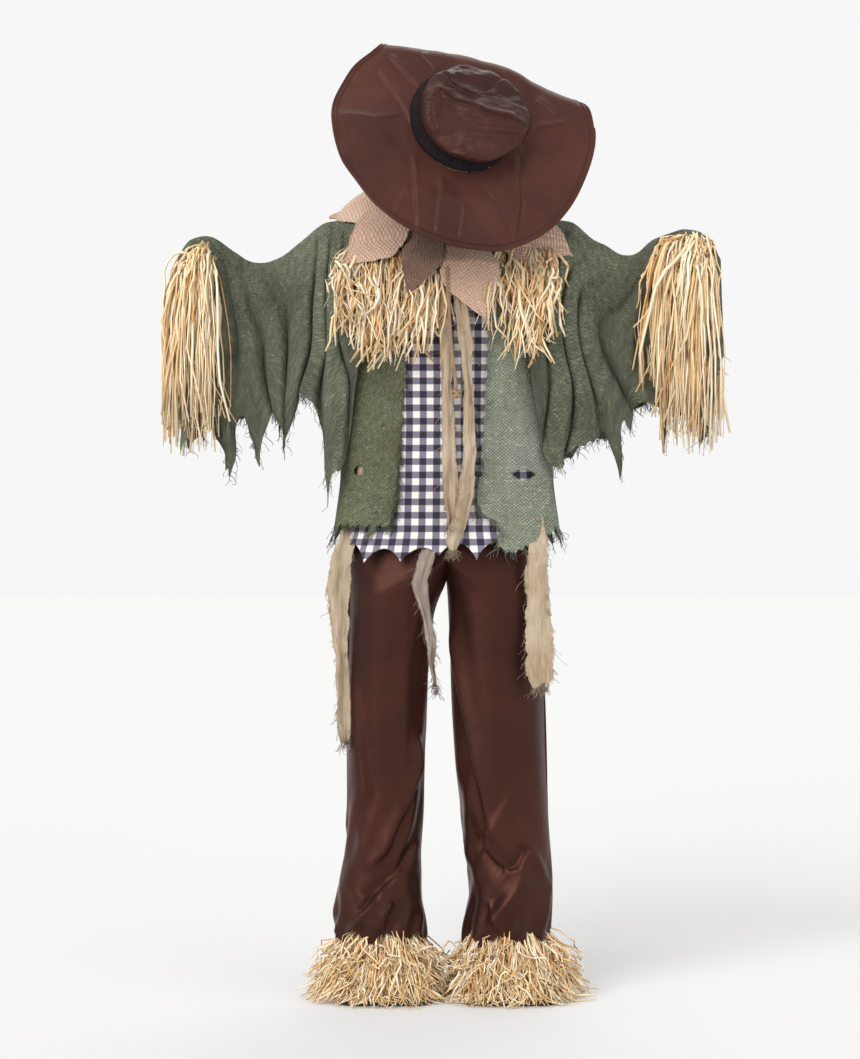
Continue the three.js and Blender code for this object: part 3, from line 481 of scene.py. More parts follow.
def fray(name, edges, count, long, material, seed):
    """Loose threads that hang from the torn edges of a cloth: edges are arrays of (k, 3) points."""
    rng = np.random.default_rng(seed)
    roots = np.concatenate([edge[rng.integers(0, len(edge), count)] for edge in edges])
    n = len(roots)
    reach = long * rng.uniform(0.25, 1, (n, 1)) ** 1.6
    aside = rng.normal(0, 0.45, (n, 3)) * np.array([1, 0.4, 0.3])
    tip = roots + (aside + np.array([0, -0.05, -0.8])) * reach
    near = roots + rng.normal(0, 0.22, (n, 3)) * reach
    far = tip + rng.normal(0, 0.25, (n, 3)) * reach
    paths = bend(roots, near, far, tip, rng, k=6, kink=0.4, curl=1.5)
    return ribbons(name, paths, rng.uniform(0.7, 1.5, n), material, seed + 1, flat=0.5, taper=0.6)


# ---------- Body shape ----------

TORSO_RINGS = np.array([
    [890, 178, 84], [980, 172, 82], [1100, 168, 80], [1250, 172, 84], [1370, 178, 82],
    [1430, 176, 70], [1462, 150, 56], [1482, 100, 44],
], float)


def torso(angle, z, out):
    """A point at angle (0 is +X, -pi/2 the front) and height z on the torso, grown by out."""
    c, s = np.cos(angle), np.sin(angle)
    wide = np.interp(z, TORSO_RINGS[:, 0], TORSO_RINGS[:, 1]) + out
    deep = np.interp(z, TORSO_RINGS[:, 0], TORSO_RINGS[:, 2]) + out
    x = wide * np.sign(c) * np.abs(c) ** 0.8
    y = deep * np.sign(s) * np.abs(s) ** 0.8
    return xyz(x, y, z)


def girth(angle):
    """Distance in mm round the torso from its front middle to an angle, positive to +X."""
    fine = np.linspace(-TAU, TAU, 4001)
    ring = torso(fine, 1100.0, 4.0)
    steps = np.linalg.norm(np.diff(ring, axis=0, prepend=ring[:1]), axis=1)
    total = np.cumsum(steps)
    return np.interp(angle, fine, total - np.interp(FRONT, fine, total))


def skirt_out(z):
    """How far clothes stand out below the torso's bottom edge."""
    return 0.28 * np.maximum(0, TORSO_RINGS[0, 0] - z)


# ---------- Shirt ----------


def make_shirt():
    u, v = lattice(420, 150)
    angle = FRONT + (u - 0.5) * TAU
    around = girth(angle)
    scallop = np.abs(np.sin(math.pi * (around + 14) / 62)) ** 0.75
    hem = 836 + 8 * field(31)(around / 70) + (30 + 7 * field(32)(around / 60)) * scallop
    z = hem + v * (1428 - hem)
    lower = smooth(z, 1250, 860)
    wave = field(33)(around / 55, z / 420) * (1.5 + 4.5 * lower) + 1.6 * field(34)(around / 25, z / 160)
    pull = 5 * bump(around - 92 - 6 * np.sin(z / 90), 9) * smooth(z, 900, 1200)
    points = torso(angle, z, 4.5 + 1.1 * skirt_out(z) + np.maximum(wave + pull, -1.2))
    shirt = cloth("shirt_cloth", points, xyz(around, z), GINGHAM, 0.8)
    place(shirt, "frame", "gingham", "shirt")


# ---------- Jacket body ----------


def jacket_edge(z, s):
    """How far the jacket's front edge is from the middle, on the figure's left or right."""
    left = [(850, 82), (900, 92), (935, 52), (960, 50), (1000, 62), (1120, 66), (1230, 74), (1470, 90)]
    right = [(850, 112), (900, 100), (960, 86), (1100, 80), (1230, 75), (1470, 90)]
    return through(z, left if s > 0 else right, 12)


BACK_FROM = 88  # the column of the jacket's grid past which its cloth is the dense gauze


def make_jacket(name, s):
    """One half of the jacket, from its front edge round to the middle of the back."""
    u, v = lattice(230, 210)
    noise_edge = field(41 + s)
    left = [(0, 862), (0.05, 850), (0.16, 866), (0.25, 884), (0.3, 900), (1, 872)]
    right = [(0, 902), (0.06, 900), (0.085, 868), (0.1, 899), (0.25, 904), (1, 872)]
    low = through(u, left if s > 0 else right)
    around_back = smooth(u, 0.25, 0.35)
    teeth = 26 * saw(u * 11) ** 1.5 * around_back + 4 * noise_edge(u * 90) + 2.5 * noise_edge(u * 300 + 7)
    hem = low - teeth
    z = hem + v * (1466 - hem)
    wide = np.interp(z, TORSO_RINGS[:, 0], TORSO_RINGS[:, 1]) + 9
    edge = jacket_edge(z, s) + 2.5 * noise_edge(z / 9) + 1.5 * noise_edge(z / 3 + 9)
    start = np.arcsin(np.clip(edge / wide, 0, 1) ** 1.25)
    away = start + u * (math.pi - start)
    angle = FRONT + s * away
    around = girth(angle)
    lower = smooth(z, 1420, 880)
    flare = (24 * smooth(z, 1230, 1060) + 8 * smooth(z, 1000, 850)) * np.cos(angle) ** 2
    fold = field(43 + s)(around / 34 + 0.4 * field(44)(z / 130), z / 700)
    wave = fold * (2.5 + 6 * lower) + 1.6 * field(45)(around / 14, z / 120)
    roll = 3.5 * bump(u, 0.012)
    points = torso(angle, z, 11 + 1.15 * skirt_out(z) + np.maximum(wave, -2.5) + roll)
    points[..., 0] += flare * np.sign(points[..., 0])
    hole_x, hole_z, half_x, half_z = (128, 996, 19, 9) if s > 0 else (-150, 1005, 8, 11)
    ragged = 1 + 0.35 * field(46)(points[..., 0] / 4, z / 4)
    inside = ((around - hole_x) / half_x) ** 2 + ((z - hole_z) / half_z) ** 2 < ragged
    keep = ~(inside & (np.abs(angle - FRONT) < 1.5))[:-1, :-1]
    material = GAUZE_THIN if s > 0 else GAUZE_DENSE
    half = cloth(name, points, xyz(around, z), material, 1.2, keep=keep)
    half.data.materials.append(GAUZE_DENSE)
    for polygon, column in zip(half.data.polygons, np.nonzero(keep)[0]):
        polygon.material_index = int(column > BACK_FROM)
    place(half, "frame", "green_gauze", "jacket_body")
    edges = [points[:150, 0], points[0], points[0, :60]]
    loose = fray(name.replace("cloth", "fray"), edges, 130, 26, material, 240 + s)
    place(loose, "frame", "green_gauze")


def make_patch():
    """A scrap of tan gauze inside the jacket, seen through its hole."""
    u, v = lattice(24, 24)
    z = 975 + 62 * v
    angle = FRONT - 0.98 + 0.34 * (u - 0.5)
    points = torso(angle, z, 12 + 1.2 * field(48)(u * 4, v * 4))
    scrap = cloth("jacket_patch_cloth", points, xyz(u * 50, v * 62), TAN, 1.0)
    place(scrap, "frame", "tan_gauze")


# ---------- Sleeves ----------

# Heights are (distance out, height) points; torn strips are (distance out, half width, length).
RIDGE = {
    1: [(84, 1494), (140, 1490), (224, 1490), (245, 1484), (262, 1468), (285, 1448), (325, 1430),
        (345, 1420), (367, 1424), (390, 1450), (420, 1462), (456, 1474), (484, 1468), (505, 1456),
        (518, 1438), (526, 1400)],
    -1: [(84, 1496), (140, 1492), (205, 1490), (230, 1486), (248, 1476), (264, 1462), (290, 1441),
         (308, 1424), (351, 1406), (380, 1408), (405, 1426), (431, 1446), (458, 1460), (484, 1458),
         (504, 1444), (516, 1412)],
}
FRONT_HEM = {
    1: ([(84, 1470), (120, 1430), (150, 1250), (175, 1070), (198, 1012), (218, 1016), (245, 1050),
         (285, 1070), (345, 1106), (378, 1138), (400, 1126), (440, 1124), (500, 1126), (516, 1190),
         (526, 1232)],
        [(325, 17, 108), (351, 10, 30), (418, 13, 88), (470, 22, 46), (500, 16, 70)]),
    -1: ([(84, 1470), (120, 1430), (150, 1330), (170, 1180), (186, 1050), (200, 1002), (222, 1012),
          (234, 1092), (250, 1128), (272, 1156), (290, 1140), (338, 1122), (391, 1110), (430, 1104),
          (516, 1112)],
         [(225, 16, 100), (308, 24, 96), (362, 20, 108), (412, 25, 116), (465, 20, 40), (498, 20, 64)]),
}
BACK_HEM = {
    1: ([(84, 1480), (120, 1300), (160, 1120), (215, 1040), (294, 1092), (384, 1140), (500, 1128),
         (516, 1196), (526, 1236)],
        [(238, 24, 26), (300, 22, 30), (336, 18, 80), (440, 22, 50), (490, 20, 80)]),
    -1: ([(84, 1480), (120, 1300), (160, 1140), (277, 1166), (338, 1120), (390, 1110), (516, 1112)],
         [(226, 28, 130), (316, 20, 60), (372, 20, 72), (426, 24, 104), (486, 22, 62)]),
}
SLEEVE_LENGTH = {1: 442, -1: 432}
SLEEVE_START = 84  # how far out from the figure's middle a sleeve's cloth starts


def torn_hem(x, notches, strips, rough, shift):
    """The height of a torn hem: a line of notches, with strips that hang below it to soft points."""
    hem = through(x, notches, 6)
    for at, half, long in strips:
        hem = hem - long * np.maximum(1 - np.abs(x - at) / half, 0) ** 1.25
    return hem + 3.5 * rough(x / 7, shift) + 2.2 * rough(x / 2.5, shift + 20)


def make_sleeve(name, s):
    """Gauze draped over the arm: a front layer, the ridge over the rod, and a back layer."""
    u, v = lattice(380, 250)
    x = SLEEVE_START + SLEEVE_LENGTH[s] * u
    back = v > 0.5
    q = np.abs(2 * v - 1)
    rough = field(50 + s)
    front_hem = torn_hem(x, *FRONT_HEM[s], rough, 0.0)
    hem = np.where(back, torn_hem(x, *BACK_HEM[s], rough, 9.0), front_hem)
    ridge = through(x, RIDGE[s], 10)
    drop = q * (ridge - hem)
    depth = through(x, [(84, 70), (140, 84), (200, 62), (250, 34), (300, 18), (400, 15), (516, 14)], 20)
    over = 1 - np.exp(-drop / (6 + 0.3 * depth))
    lean = smooth(drop, 0, 240)
    drift = 1.3 * field(52 + s)(x / 90, drop / 170) + 0.5 * back
    phase = TAU * (x / 52 + drift)
    pleat = np.sin(phase) * (2 + 11 * lean) + 0.5 * np.sin(TAU * (x / 27 + 2 * drift)) * (2 + 6 * lean)
    pleat += 4 * field(53 + s)(x / 15, drop / 70) * (0.35 + lean) + 1.6 * field(56 + s)(x / 7, drop / 16)
    hang = smooth(x, 130, 230)
    pleat *= np.where(back, 0.6, 1.0) * (0.35 + 0.65 * hang)
    y = np.where(back, 1, -1) * (depth * over + 4 * lean) + pleat
    slide = (6 * np.cos(phase) + 7 * field(54 + s)(x / 50, drop / 80)) * lean * hang
    sag = 3 * field(55 + s)(x / 30, v * 3) * (1 - lean)
    points = xyz(s * (x + slide), y, ridge - drop + sag)
    sleeve = cloth(name, points, xyz(x, (v - 0.5) * 700), GAUZE_SLEEVE, 1.2)
    side = "left" if s > 0 else "right"
    edges = [points[60:, 0], points[60:, -1]]
    loose = fray(f"sleeve_fray_{side}", edges, 260, 26, GAUZE_SLEEVE, 250 + s)
    for each in (sleeve, loose):
        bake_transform(each)
    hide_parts(f"sleeve_{side}")


# ---------- Trousers ----------

# Long folds: (degrees round the leg, height) points, how high they stand, how sharp and how soft they are.
LEG_FOLDS = {
    1: [([(190, 740), (196, 684), (219, 553), (237, 422), (245, 322), (268, 250)], 9.0, 6.0, 34.0),
        ([(268, 246), (250, 262), (232, 290), (222, 320)], -7.0, 4.0, 26.0),
        ([(262, 244), (280, 252), (298, 290)], -6.0, 4.0, 24.0),
        ([(236, 190), (248, 150), (262, 124)], 5.0, 3.0, 12.0)],
    -1: [([(208, 520), (200, 440), (222, 385), (245, 335), (264, 278), (294, 236)], 9.0, 6.0, 32.0),
         ([(192, 300), (232, 250), (265, 213), (295, 165), (316, 125)], -9.0, 5.0, 26.0),
         ([(250, 190), (262, 160), (266, 128)], 5.0, 3.0, 13.0),
         ([(282, 200), (296, 170), (290, 140)], 5.0, 3.0, 13.0)],
}
# Rows of (height, middle x, half width, half depth) up each leg; the two legs meet at the crotch.
LEG_ROWS = {
    1: [(128, 113, 83, 70), (205, 125, 78, 66), (420, 106, 85, 66), (623, 96, 86, 70), (740, 93, 88, 76),
        (800, 92, 92, 80), (842, 90, 95, 82), (884, 85, 86, 74)],
    -1: [(128, 127, 86, 70), (205, 132, 79, 66), (289, 122, 68, 60), (420, 121, 71, 62), (623, 119, 71, 66),
         (740, 107, 79, 74), (800, 92, 92, 80), (842, 90, 95, 82), (884, 85, 86, 74)],
}


def make_leg(name, s):
    """A trouser leg, which turns into half of the seat above the crotch."""
    u, v = lattice(260, 380)
    rows = LEG_ROWS[s]
    theta = TAU * u
    rough = field(60 + s)
    hem = 130 + 9 * rough(u * 9) - 30 * saw(u * 8 + 0.2) ** 1.5 + 3 * rough(u * 60)
    z = hem + v * (884 - hem)
    middle, wide, deep = (through(z, [(r[0], r[i]) for r in rows], 22) for i in (1, 2, 3))
    c, sn = np.cos(theta), np.sin(theta)
    seat = smooth(z, 770, 846)
    x = (1 - seat) * (middle + wide * c) + seat * (middle + wide) * np.maximum(c, 0)
    y = deep * sn
    relief = np.zeros_like(x)
    rng = np.random.default_rng(70 + s)
    angle = np.degrees(theta)
    for i in range(34):
        low = i % 2
        centre_z = rng.uniform(150, 380) if low else rng.uniform(380, 860)
        centre = rng.uniform(0, 360)
        tilt = rng.uniform(0.18, 0.55) * rng.choice([-1, 1]) if low else rng.normal(0, 0.07)
        long = rng.uniform(45, 90) if low else rng.uniform(120, 260)
        width = rng.uniform(9, 16) if low else rng.uniform(10, 22)
        height = rng.uniform(2, 5) if low else rng.uniform(2, 4.5)
        off = (angle - centre - tilt * (z - centre_z) + 180) % 360 - 180
        ridge = bump(off, width) - 0.35 * bump(off + 1.6 * width, width)
        relief += height * ridge * bump(z - centre_z, long)
    relief += 3.0 * field(74 + s)(u * 7, z / 240) * smooth(z, 120, 300)
    for line, high, sharp, soft in LEG_FOLDS[s]:
        relief += crease(angle * 1.4, z, [(1.4 * at, up) for at, up in line], high, sharp, soft)
    relief += 7 * bump(z - 190, 50) * bump(angle - 275, 50)
    gather = 3.5 * np.sin(theta * 11 + 3 * rough(z / 60)) * smooth(z, 230, 130)
    inward = np.where(c > -0.35, 1, 1 - seat)
    x = x + (relief + gather) * c * inward
    y = y + (relief + gather) * sn * (1 - 0.4 * seat)
    points = xyz(s * x, y, z)
    leg = cloth(name, points, xyz(u * 500, z), SATIN_TROUSERS, 0.9, closed=True)
    place(leg, "frame", "brown_satin", "trousers")


# ---------- Hat ----------

NECK = Vector((0, 0, 1508))
NECK_TURN, HEAD_PITCH, HEAD_LENGTH = 0.18, 0.585, 150
HEAD_TURN = Matrix.Rotation(NECK_TURN, 3, "Z") @ Matrix.Rotation(HEAD_PITCH, 3, "X")
HEAD_MIDDLE = HEAD_TURN @ Vector((0, 0, HEAD_LENGTH)) + NECK
HAT_OUT = Vector((0.2, -0.87, 0.45)).normalized()
HAT_UP = (Vector((0, 0, 1)) - HAT_OUT * HAT_OUT.z).normalized()
HAT_ACROSS = HAT_UP.cross(HAT_OUT).normalized()
HAT_CENTRE = HEAD_MIDDLE + HAT_OUT * 52
CROWN_SIDE, CROWN_FORE, CROWN_HEIGHT = 96, 112, 104
BRIM_SIDE, BRIM_FORE = 246, 270
FOLD_X, FOLD_Y = 0.345, 0.94  # the direction across the brim's fold
FOLD_AT, FOLD_R, FOLD_TURN = 110, 40, 2.0


def in_hat(x, y, z):
    """Points across, up and out from the middle of the crown's base, in the figure's frame."""
    axes = [np.array(a) for a in (HAT_ACROSS, HAT_UP, HAT_OUT)]
    return np.array(HAT_CENTRE) + sum(np.asarray(w)[..., None] * a for w, a in zip((x, y, z), axes))


def folded(x, y, z):
    """The back of the brim bends away behind the head past a slanting line."""
    bulge = 34 * bump(FOLD_Y * x - FOLD_X * y - 20, 130)
    past = np.maximum(FOLD_X * x + FOLD_Y * y - FOLD_AT - bulge, 0)
    turn = np.minimum(past / FOLD_R, FOLD_TURN)
    rest = past - FOLD_R * turn
    ahead = (FOLD_R + z) * np.sin(turn) + rest * np.cos(turn) - past
    back = (FOLD_R + z) * (1 - np.cos(turn)) - z + rest * np.sin(turn)
    return in_hat(x + FOLD_X * ahead, y + FOLD_Y * ahead, -back)


BRIM_CREASES = [  # (across, up) points and how high the fold stands
    ([(-148, 128), (-124, 67), (-103, 22), (-96, -14)], 3.2), ([(-125, 159), (-110, 130), (-68, 70)], 3.0),
    ([(-63, 160), (-34, 116)], 2.6), ([(-101, -70), (-104, -150), (-108, -250)], 3.2),
    ([(-50, -118), (-62, -180), (-76, -255)], 3.2), ([(-12, -176), (-30, -258)], 2.6),
    ([(22, -138), (52, -187), (78, -246)], -2.8), ([(103, -60), (101, -120), (97, -183), (80, -256)], -3.6),
    ([(-116, -138), (-152, -210)], 2.6), ([(118, -36), (144, -10), (215, 4)], 4.0),
    ([(60, -150), (120, -176), (170, -200)], 2.0), ([(-236, 6), (-160, -2), (-104, 14)], 2.6),
    ([(150, 60), (190, 20)], 2.4),
]


def brim_surface(angle, v):
    """The brim at an angle and at v from the crown (0) to the rim (1), with its creases."""
    c, s = np.cos(angle), np.sin(angle)
    reach = 1 + 0.01 * field(81)(angle * 2.2)
    corners = ((0, 0.05, 0.5), (TAU, 0.05, 0.5), (2.7, -0.06, 0.3), (2.3, -0.13, 0.26), (0.75, -0.04, 0.25))
    for at, out, width in corners:
        reach = reach + out * bump(angle - at, width)
    x = c * (CROWN_SIDE + v * (BRIM_SIDE * reach - CROWN_SIDE))
    y = s * (CROWN_FORE + v * (BRIM_FORE * reach - CROWN_FORE))
    lift = -10 * v**2 + 8 * v * np.sin(2 * angle + 0.6) + 6 * v * np.sin(3 * angle + 1.9)
    lift = lift + sum(crease(x, y, line, high) for line, high in BRIM_CREASES)
    lift = lift + 9 * bump(y + 60 + 0.2 * x, 46) * smooth(-x, 120, 190)
    lift = lift + 4 * bump(x - 190, 30) * bump(y + 60, 80)
    lift = lift + (3 * field(83)(x / 60, y / 45) + 1.2 * field(82)(x / 22, y / 30)) * smooth(v, 0, 0.3)
    return x, y, lift


def make_brim():
    u, v = lattice(560, 110)
    angle = TAU * u
    x, y, lift = brim_surface(angle, v)
    uv = xyz(x, y)
    brim = cloth("hat_brim_cloth", folded(x, y, lift), uv, SATIN_HAT, 1.8, closed=True)
    rims = []
    for inset, radius in ((0.0, 2.6), (0.055, 1.1)):
        turn = np.linspace(0, TAU, 420, endpoint=False)
        x, y, lift = brim_surface(turn, np.full_like(turn, 1 - inset))
        path = folded(x, y, lift + (0.0 if inset == 0 else 1.3))
        rims.append(tube(f"hat_rim_{len(rims)}", path, radius, SATIN_HAT, 8, closed=True))
    rim = merge("hat_rim", rims)
    place(brim, "head", "hat_satin", "hat_brim")
    place(rim, "head", "hat_satin")


CROWN_CREASES = [
    ([(-70, 12), (-50, 24), (-42, 14), (-26, -2), (2, -16), (45, -32), (81, -42), (114, -45)], 7.0),
    ([(-39, 78), (-28, 44), (-8, 24), (27, 6)], 5.0), ([(20, -62), (60, -68), (97, -64)], 3.6),
    ([(-24, -80), (6, -84), (39, -81)], 2.6), ([(-70, 2), (-72, -40), (-66, -80)], 2.6),
    ([(30, 20), (60, 50), (92, 66), (124, 32)], -4.0), ([(84, 92), (100, 50), (112, 10)], 3.0),
    ([(-30, 96), (6, 100), (30, 88)], 3.0), ([(-20, -40), (20, -54), (70, -60)], 2.6),
]
BAND_TOP = 0.30  # how far up the crown's surface the ribbon reaches


def crown_surface(angle, v):
    """The crown from its base (v 0), in under its slumped pouch and over to the middle of the top (v 1)."""
    pouch = 0.96 + 0.04 * np.cos(angle + 0.9) + 0.12 * (bump(angle, 0.7) + bump(angle - TAU, 0.7))
    pouch = pouch + 0.025 * field(87)(angle * 3)
    over = np.clip((v - 0.5) / 0.5, 0, 1)
    r = np.interp(v, [0, 0.27, 0.31, 0.42, 0.5], [1, 0.84, 0.84, 0, 0]) + pouch * (
        np.interp(v, [0.31, 0.42, 0.5], [0, 1, 1.02]))
    r = np.where(v > 0.5, 1.02 * pouch * np.cos(over * math.pi / 2) ** 0.9, r)
    z = np.interp(v, [0, 0.27, 0.31, 0.42, 0.5], [3, 27, 32, 42, 54]) + 20 * np.sin(over * math.pi / 2)
    lean = smooth(z, 20, 60)
    tuck = 1 - 0.05 * lean * np.maximum(np.sin(angle), 0)
    return CROWN_SIDE * r * np.cos(angle) + 8 * lean, CROWN_FORE * r * np.sin(angle) * tuck - 10 * lean, z


def make_crown():
    u, v = lattice(400, 220)
    angle = TAU * u
    x, y, z = crown_surface(angle, v)
    soft = smooth(v, 0.36, 0.5)
    dent = sum(crease(x, y, line, high, 2.4, 16) for line, high in CROWN_CREASES)
    dent = dent - 12 * bump(x - 30, 60) * bump(y - 30, 30)
    dent = dent + 5 * field(84)(x / 38, y / 20) + 1.5 * field(85)(x / 13, y / 8)
    z = z + dent * soft
    uv = xyz(x + 30 * np.cos(angle) * (1 - v), y + 30 * np.sin(angle) * (1 - v))
    # The crown wears the darker copy of the hat's satin, which is painted shade.
    crown = cloth("hat_crown_cloth", in_hat(x, y, z), uv, SATIN_CROWN_SHADED, 1.4, closed=True)
    place(crown, "head", "hat_satin", "hat_crown")
    u, v = lattice(240, 8)
    angle = TAU * u
    x, y, z = crown_surface(angle, 0.01 + BAND_TOP * v)
    out = 2.0 + 0.5 * field(86)(u * 40)
    band = cloth("hat_band_ribbon", in_hat(x + out * np.cos(angle), y + out * np.sin(angle), z),
                 xyz(u * 660, v * 34), RIBBON, 0.9, closed=True)
    place(band, "head", "ribbon", "hat_band")


# ---------- Head ----------


FACE = 1.5 * math.pi  # the angle of the face's middle round the head


def head_point(angle, polar, out):
    """A point on the head, grown by out, in its own frame: angle round it and polar from its neck up."""
    jaw = 1 - 0.16 * np.maximum(0, np.cos(polar))
    r = np.sin(polar)
    return xyz((76 + out) * jaw * r * np.cos(angle), (88 + out) * jaw * r * np.sin(angle),
               -(108 + out) * np.cos(polar))


def in_head(points):
    turn = np.array(HEAD_TURN)
    return points @ turn.T + np.array(HEAD_MIDDLE)


def on_face(at, x, z, out):
    """Points x and z mm across and up from the eye at an angle round the head."""
    return in_head(head_point(at + x / 84, math.pi * (0.54 + z / 340), out))


def make_head():
    u, v = lattice(180, 110)
    angle, polar = TAU * u, math.pi * (0.02 + 0.97 * v)
    front = bump(angle - FACE, 0.55)
    brow = 5 * front * bump(v - 0.60, 0.06) - 4 * front * bump(v - 0.52, 0.05)
    nose = 11 * bump(angle - FACE, 0.16) * bump(v - 0.43, 0.07)
    rumple = 2.2 * field(90)(u * 22, v * 5) * smooth(v, 0.5, 0.1) + 1.2 * field(91)(u * 12, v * 14)
    points = in_head(head_point(angle, polar, 4.0 + brow + nose + rumple))
    sack = cloth("head_sack_cloth", points, xyz(u * 500, v * 340), BURLAP, 1.2, closed=True)
    place(sack, "head", "burlap", "head_form", "head_sack")
    gathers = 1 + 0.12 * np.sin(9 * angle + 2 * v) * v
    skirt = xyz((28 + 7 * v) * gathers * np.cos(angle), (29 + 7 * v) * gathers * np.sin(angle),
                -98 - 26 * v + 2 * field(92)(u * 20, v))
    skirt = cloth("head_sack_skirt", in_head(skirt), xyz(u * 230, v * 34), BURLAP, 1.2, closed=True)
    place(skirt, "head", "burlap")
    parts = []
    for side in (-1, 1):
        at = FACE + side * 0.36
        turn = np.linspace(0, TAU, 24, endpoint=False)
        for radius, thick in ((9.0, 2.2), (4.5, 1.6)):
            ring = on_face(at, radius * np.cos(turn), radius * np.sin(turn), 9.0)
            parts.append(tube("eye", ring, thick, RIBBON, 8, closed=True))
        line = np.linspace(-7, 7, 6)
        for way in (-1, 1):
            parts.append(tube("eye_stitch", on_face(at, line, way * line, 9.5), 1.1, RIBBON, 8))
    sweep = np.linspace(-0.62, 0.62, 24)
    mouth = head_point(FACE + sweep, math.pi * (0.275 + 0.10 * sweep**2), 7.0)
    parts.append(tube("mouth", in_head(mouth), 1.3, RIBBON, 8))
    line = np.linspace(-0.022, 0.022, 5)
    for at in np.linspace(-0.55, 0.55, 9):
        stitch = head_point(np.full(5, FACE + at), math.pi * (0.275 + 0.10 * at**2 + line), 7.8)
        parts.append(tube("mouth_stitch", in_head(stitch), 1.0, RIBBON, 8))
    place(merge("head_stitching", parts), "head", "ribbon")
    turn = np.linspace(0, TAU * 3, 150)
    tie = head_point(turn, math.pi * (0.155 + 0.008 * turn / TAU), 5.5)
    place(tube("sack_tie_twine", in_head(tie), 2.0, JUTE, 8), "head", "jute", "sack_tie")


# ---------- Burlap collar ----------


TAB_DROP = 0.19  # metres from the collar's band to a tab's tip
TAB_SHARE = 0.72  # how much of the strip that a tab is cut from is left in it


def over_shoulders(x, y, layer):
    """Where burlap laid flat at (x, y) rests on the shoulders, or hangs past their front or back."""
    edge = 78.0
    past = np.maximum(np.abs(y) - edge, 0)
    ridge = 1503 - 0.15 * np.maximum(np.abs(x) - 60, 0)
    bowed = ridge + 27 * np.log(1 - np.minimum(np.abs(y), edge) / 85)
    middle = bump(x, 150)
    out = edge + layer + (10 + 40 * middle) * smooth(past, 0, 50)
    y = np.where(past > 0, np.sign(y) * out, y * (1 + layer / edge))
    return xyz(x, y, bowed + layer - past)


def make_collar():
    """Pointed tabs of burlap sewn to a band round the neck, laid over the shoulders."""
    tabs = [
        # direction (degrees from the front towards +X), half width at the neck and at its widest,
        # reach, rise in its middle, tilt towards the front
        (17, 17, 58, 244, 2, 0.0, BURLAP), (-22, 15, 40, 198, 4, 0.0, BURLAP_DARK),
        (-62, 16, 44, 228, 6, 0.2, BURLAP), (-92, 18, 60, 226, 50, 0.85, BURLAP),
        (70, 18, 52, 252, 6, 0.2, BURLAP), (104, 18, 50, 210, 14, 0.5, BURLAP_DARK),
        (146, 18, 56, 172, 6, 0.0, BURLAP), (186, 18, 56, 160, 4, 0.0, BURLAP),
        (-128, 18, 54, 180, 8, 0.0, BURLAP_DARK),
    ]
    pieces = {BURLAP.name: [], BURLAP_DARK.name: []}
    for i, (middle, near, far, reach, rise, tilt, material) in enumerate(tabs):
        u, v = lattice(56, 76)
        rough = field(100 + i)
        across = 2 * u - 1
        edge = 1 + 0.05 * rough(v * 26, across * 1.5) + 0.03 * rough(v * 70, across * 3)
        body_width = near + (far - near) * smooth(v, 0, 0.55)
        width = body_width * (1 - 0.985 * np.clip((v - 0.55) / 0.45, 0, 1) ** 1.25) * edge
        front = math.radians(middle) - math.pi / 2
        out = 44 + (reach - 44) * v
        c, s = math.cos(front), math.sin(front)
        layer = 5 + (i % 3) * 2.6
        points = over_shoulders(c * out - s * across * width, s * out + c * across * width, layer)
        wave = 6 * rough(across * 1.6 + 3, v * 2) * v + rise * np.sin(math.pi * np.minimum(v, 0.9))
        points[..., 2] += wave + tilt * across * width * np.sign(-c) * -smooth(v, 0, 0.5)
        points[..., 1] -= 3 * rough(across * 2.2, v * 3 + 5) * v
        uv = xyz(across * width + 300 * i, v * 190)
        pieces[material.name].append(cloth(f"tab_{i}", points, uv, material, 1.6))
    light = merge("burlap_collar_light", pieces[BURLAP.name])
    dark = merge("burlap_collar_dark", pieces[BURLAP_DARK.name])
    for each, area in ((light, 0.115), (dark, 0.050)):
        place(each, "frame", "burlap", "burlap_collar")
        width = area / TAB_DROP / TAB_SHARE
    turn = np.linspace(0, TAU * 2.9, 200)
    path = xyz(50 * np.cos(turn), 49 * np.sin(turn), 1500 + 2.2 * turn / TAU + np.sin(turn * 1.7))
    place(tube("collar_tie_twine", path, 1.9, JUTE, 8), "frame", "jute", "collar_tie")


# ---------- Rope ----------

ROPE_POINTS = [
    (0, -136, 1386), (1, -136, 1340), (4, -133, 1290), (8, -130, 1236), (14, -128, 1184), (18, -128, 1148),
]


def spline(points, count):
    """count points, evenly spaced, on a smooth curve through the points."""
    p = np.array([points[0], *points, points[-1]], float)
    out = []
    for i in range(len(p) - 3):
        a, b, c, d = p[i: i + 4]
        cubic = 3 * b - a - 3 * c + d
        for t in np.linspace(0, 1, 20, endpoint=False):
            out.append(0.5 * (2 * b + (c - a) * t + (2 * a - 5 * b + 4 * c - d) * t**2 + cubic * t**3))
    out = np.array([*out, p[-2]])
    far = np.cumsum(np.linalg.norm(np.diff(out, axis=0, prepend=out[:1]), axis=1))
    even = np.linspace(0, far[-1], count)
    return xyz(*(np.interp(even, far, axis) for axis in out.T)), far[-1]


def make_rope():
    path, length = spline(ROPE_POINTS, 120)
    turn = np.linspace(0, TAU * length / 24, 120)
    strands = []
    for i in range(3):
        a = turn + i * TAU / 3
        offset = xyz(np.cos(a), np.sin(a), 0) * 1.75
        strands.append(tube(f"rope_strand_{i}", path + offset, 1.85, JUTE, 8))
    rope = merge("rope_tail_twist", strands)
    end = path[-1]
    a = np.linspace(0, TAU * 2.2, 60)
    knot = end + xyz(6.5 * np.cos(a), 6.0 * np.sin(a), 5 * np.cos(a * 1.5 + 0.7))
    knot_piece = tube("rope_knot", knot, 3.2, JUTE, 8)
    place(rope, "frame", "jute", "rope_tail")
    place(knot_piece, "frame", "jute")


# ---------- Rags ----------


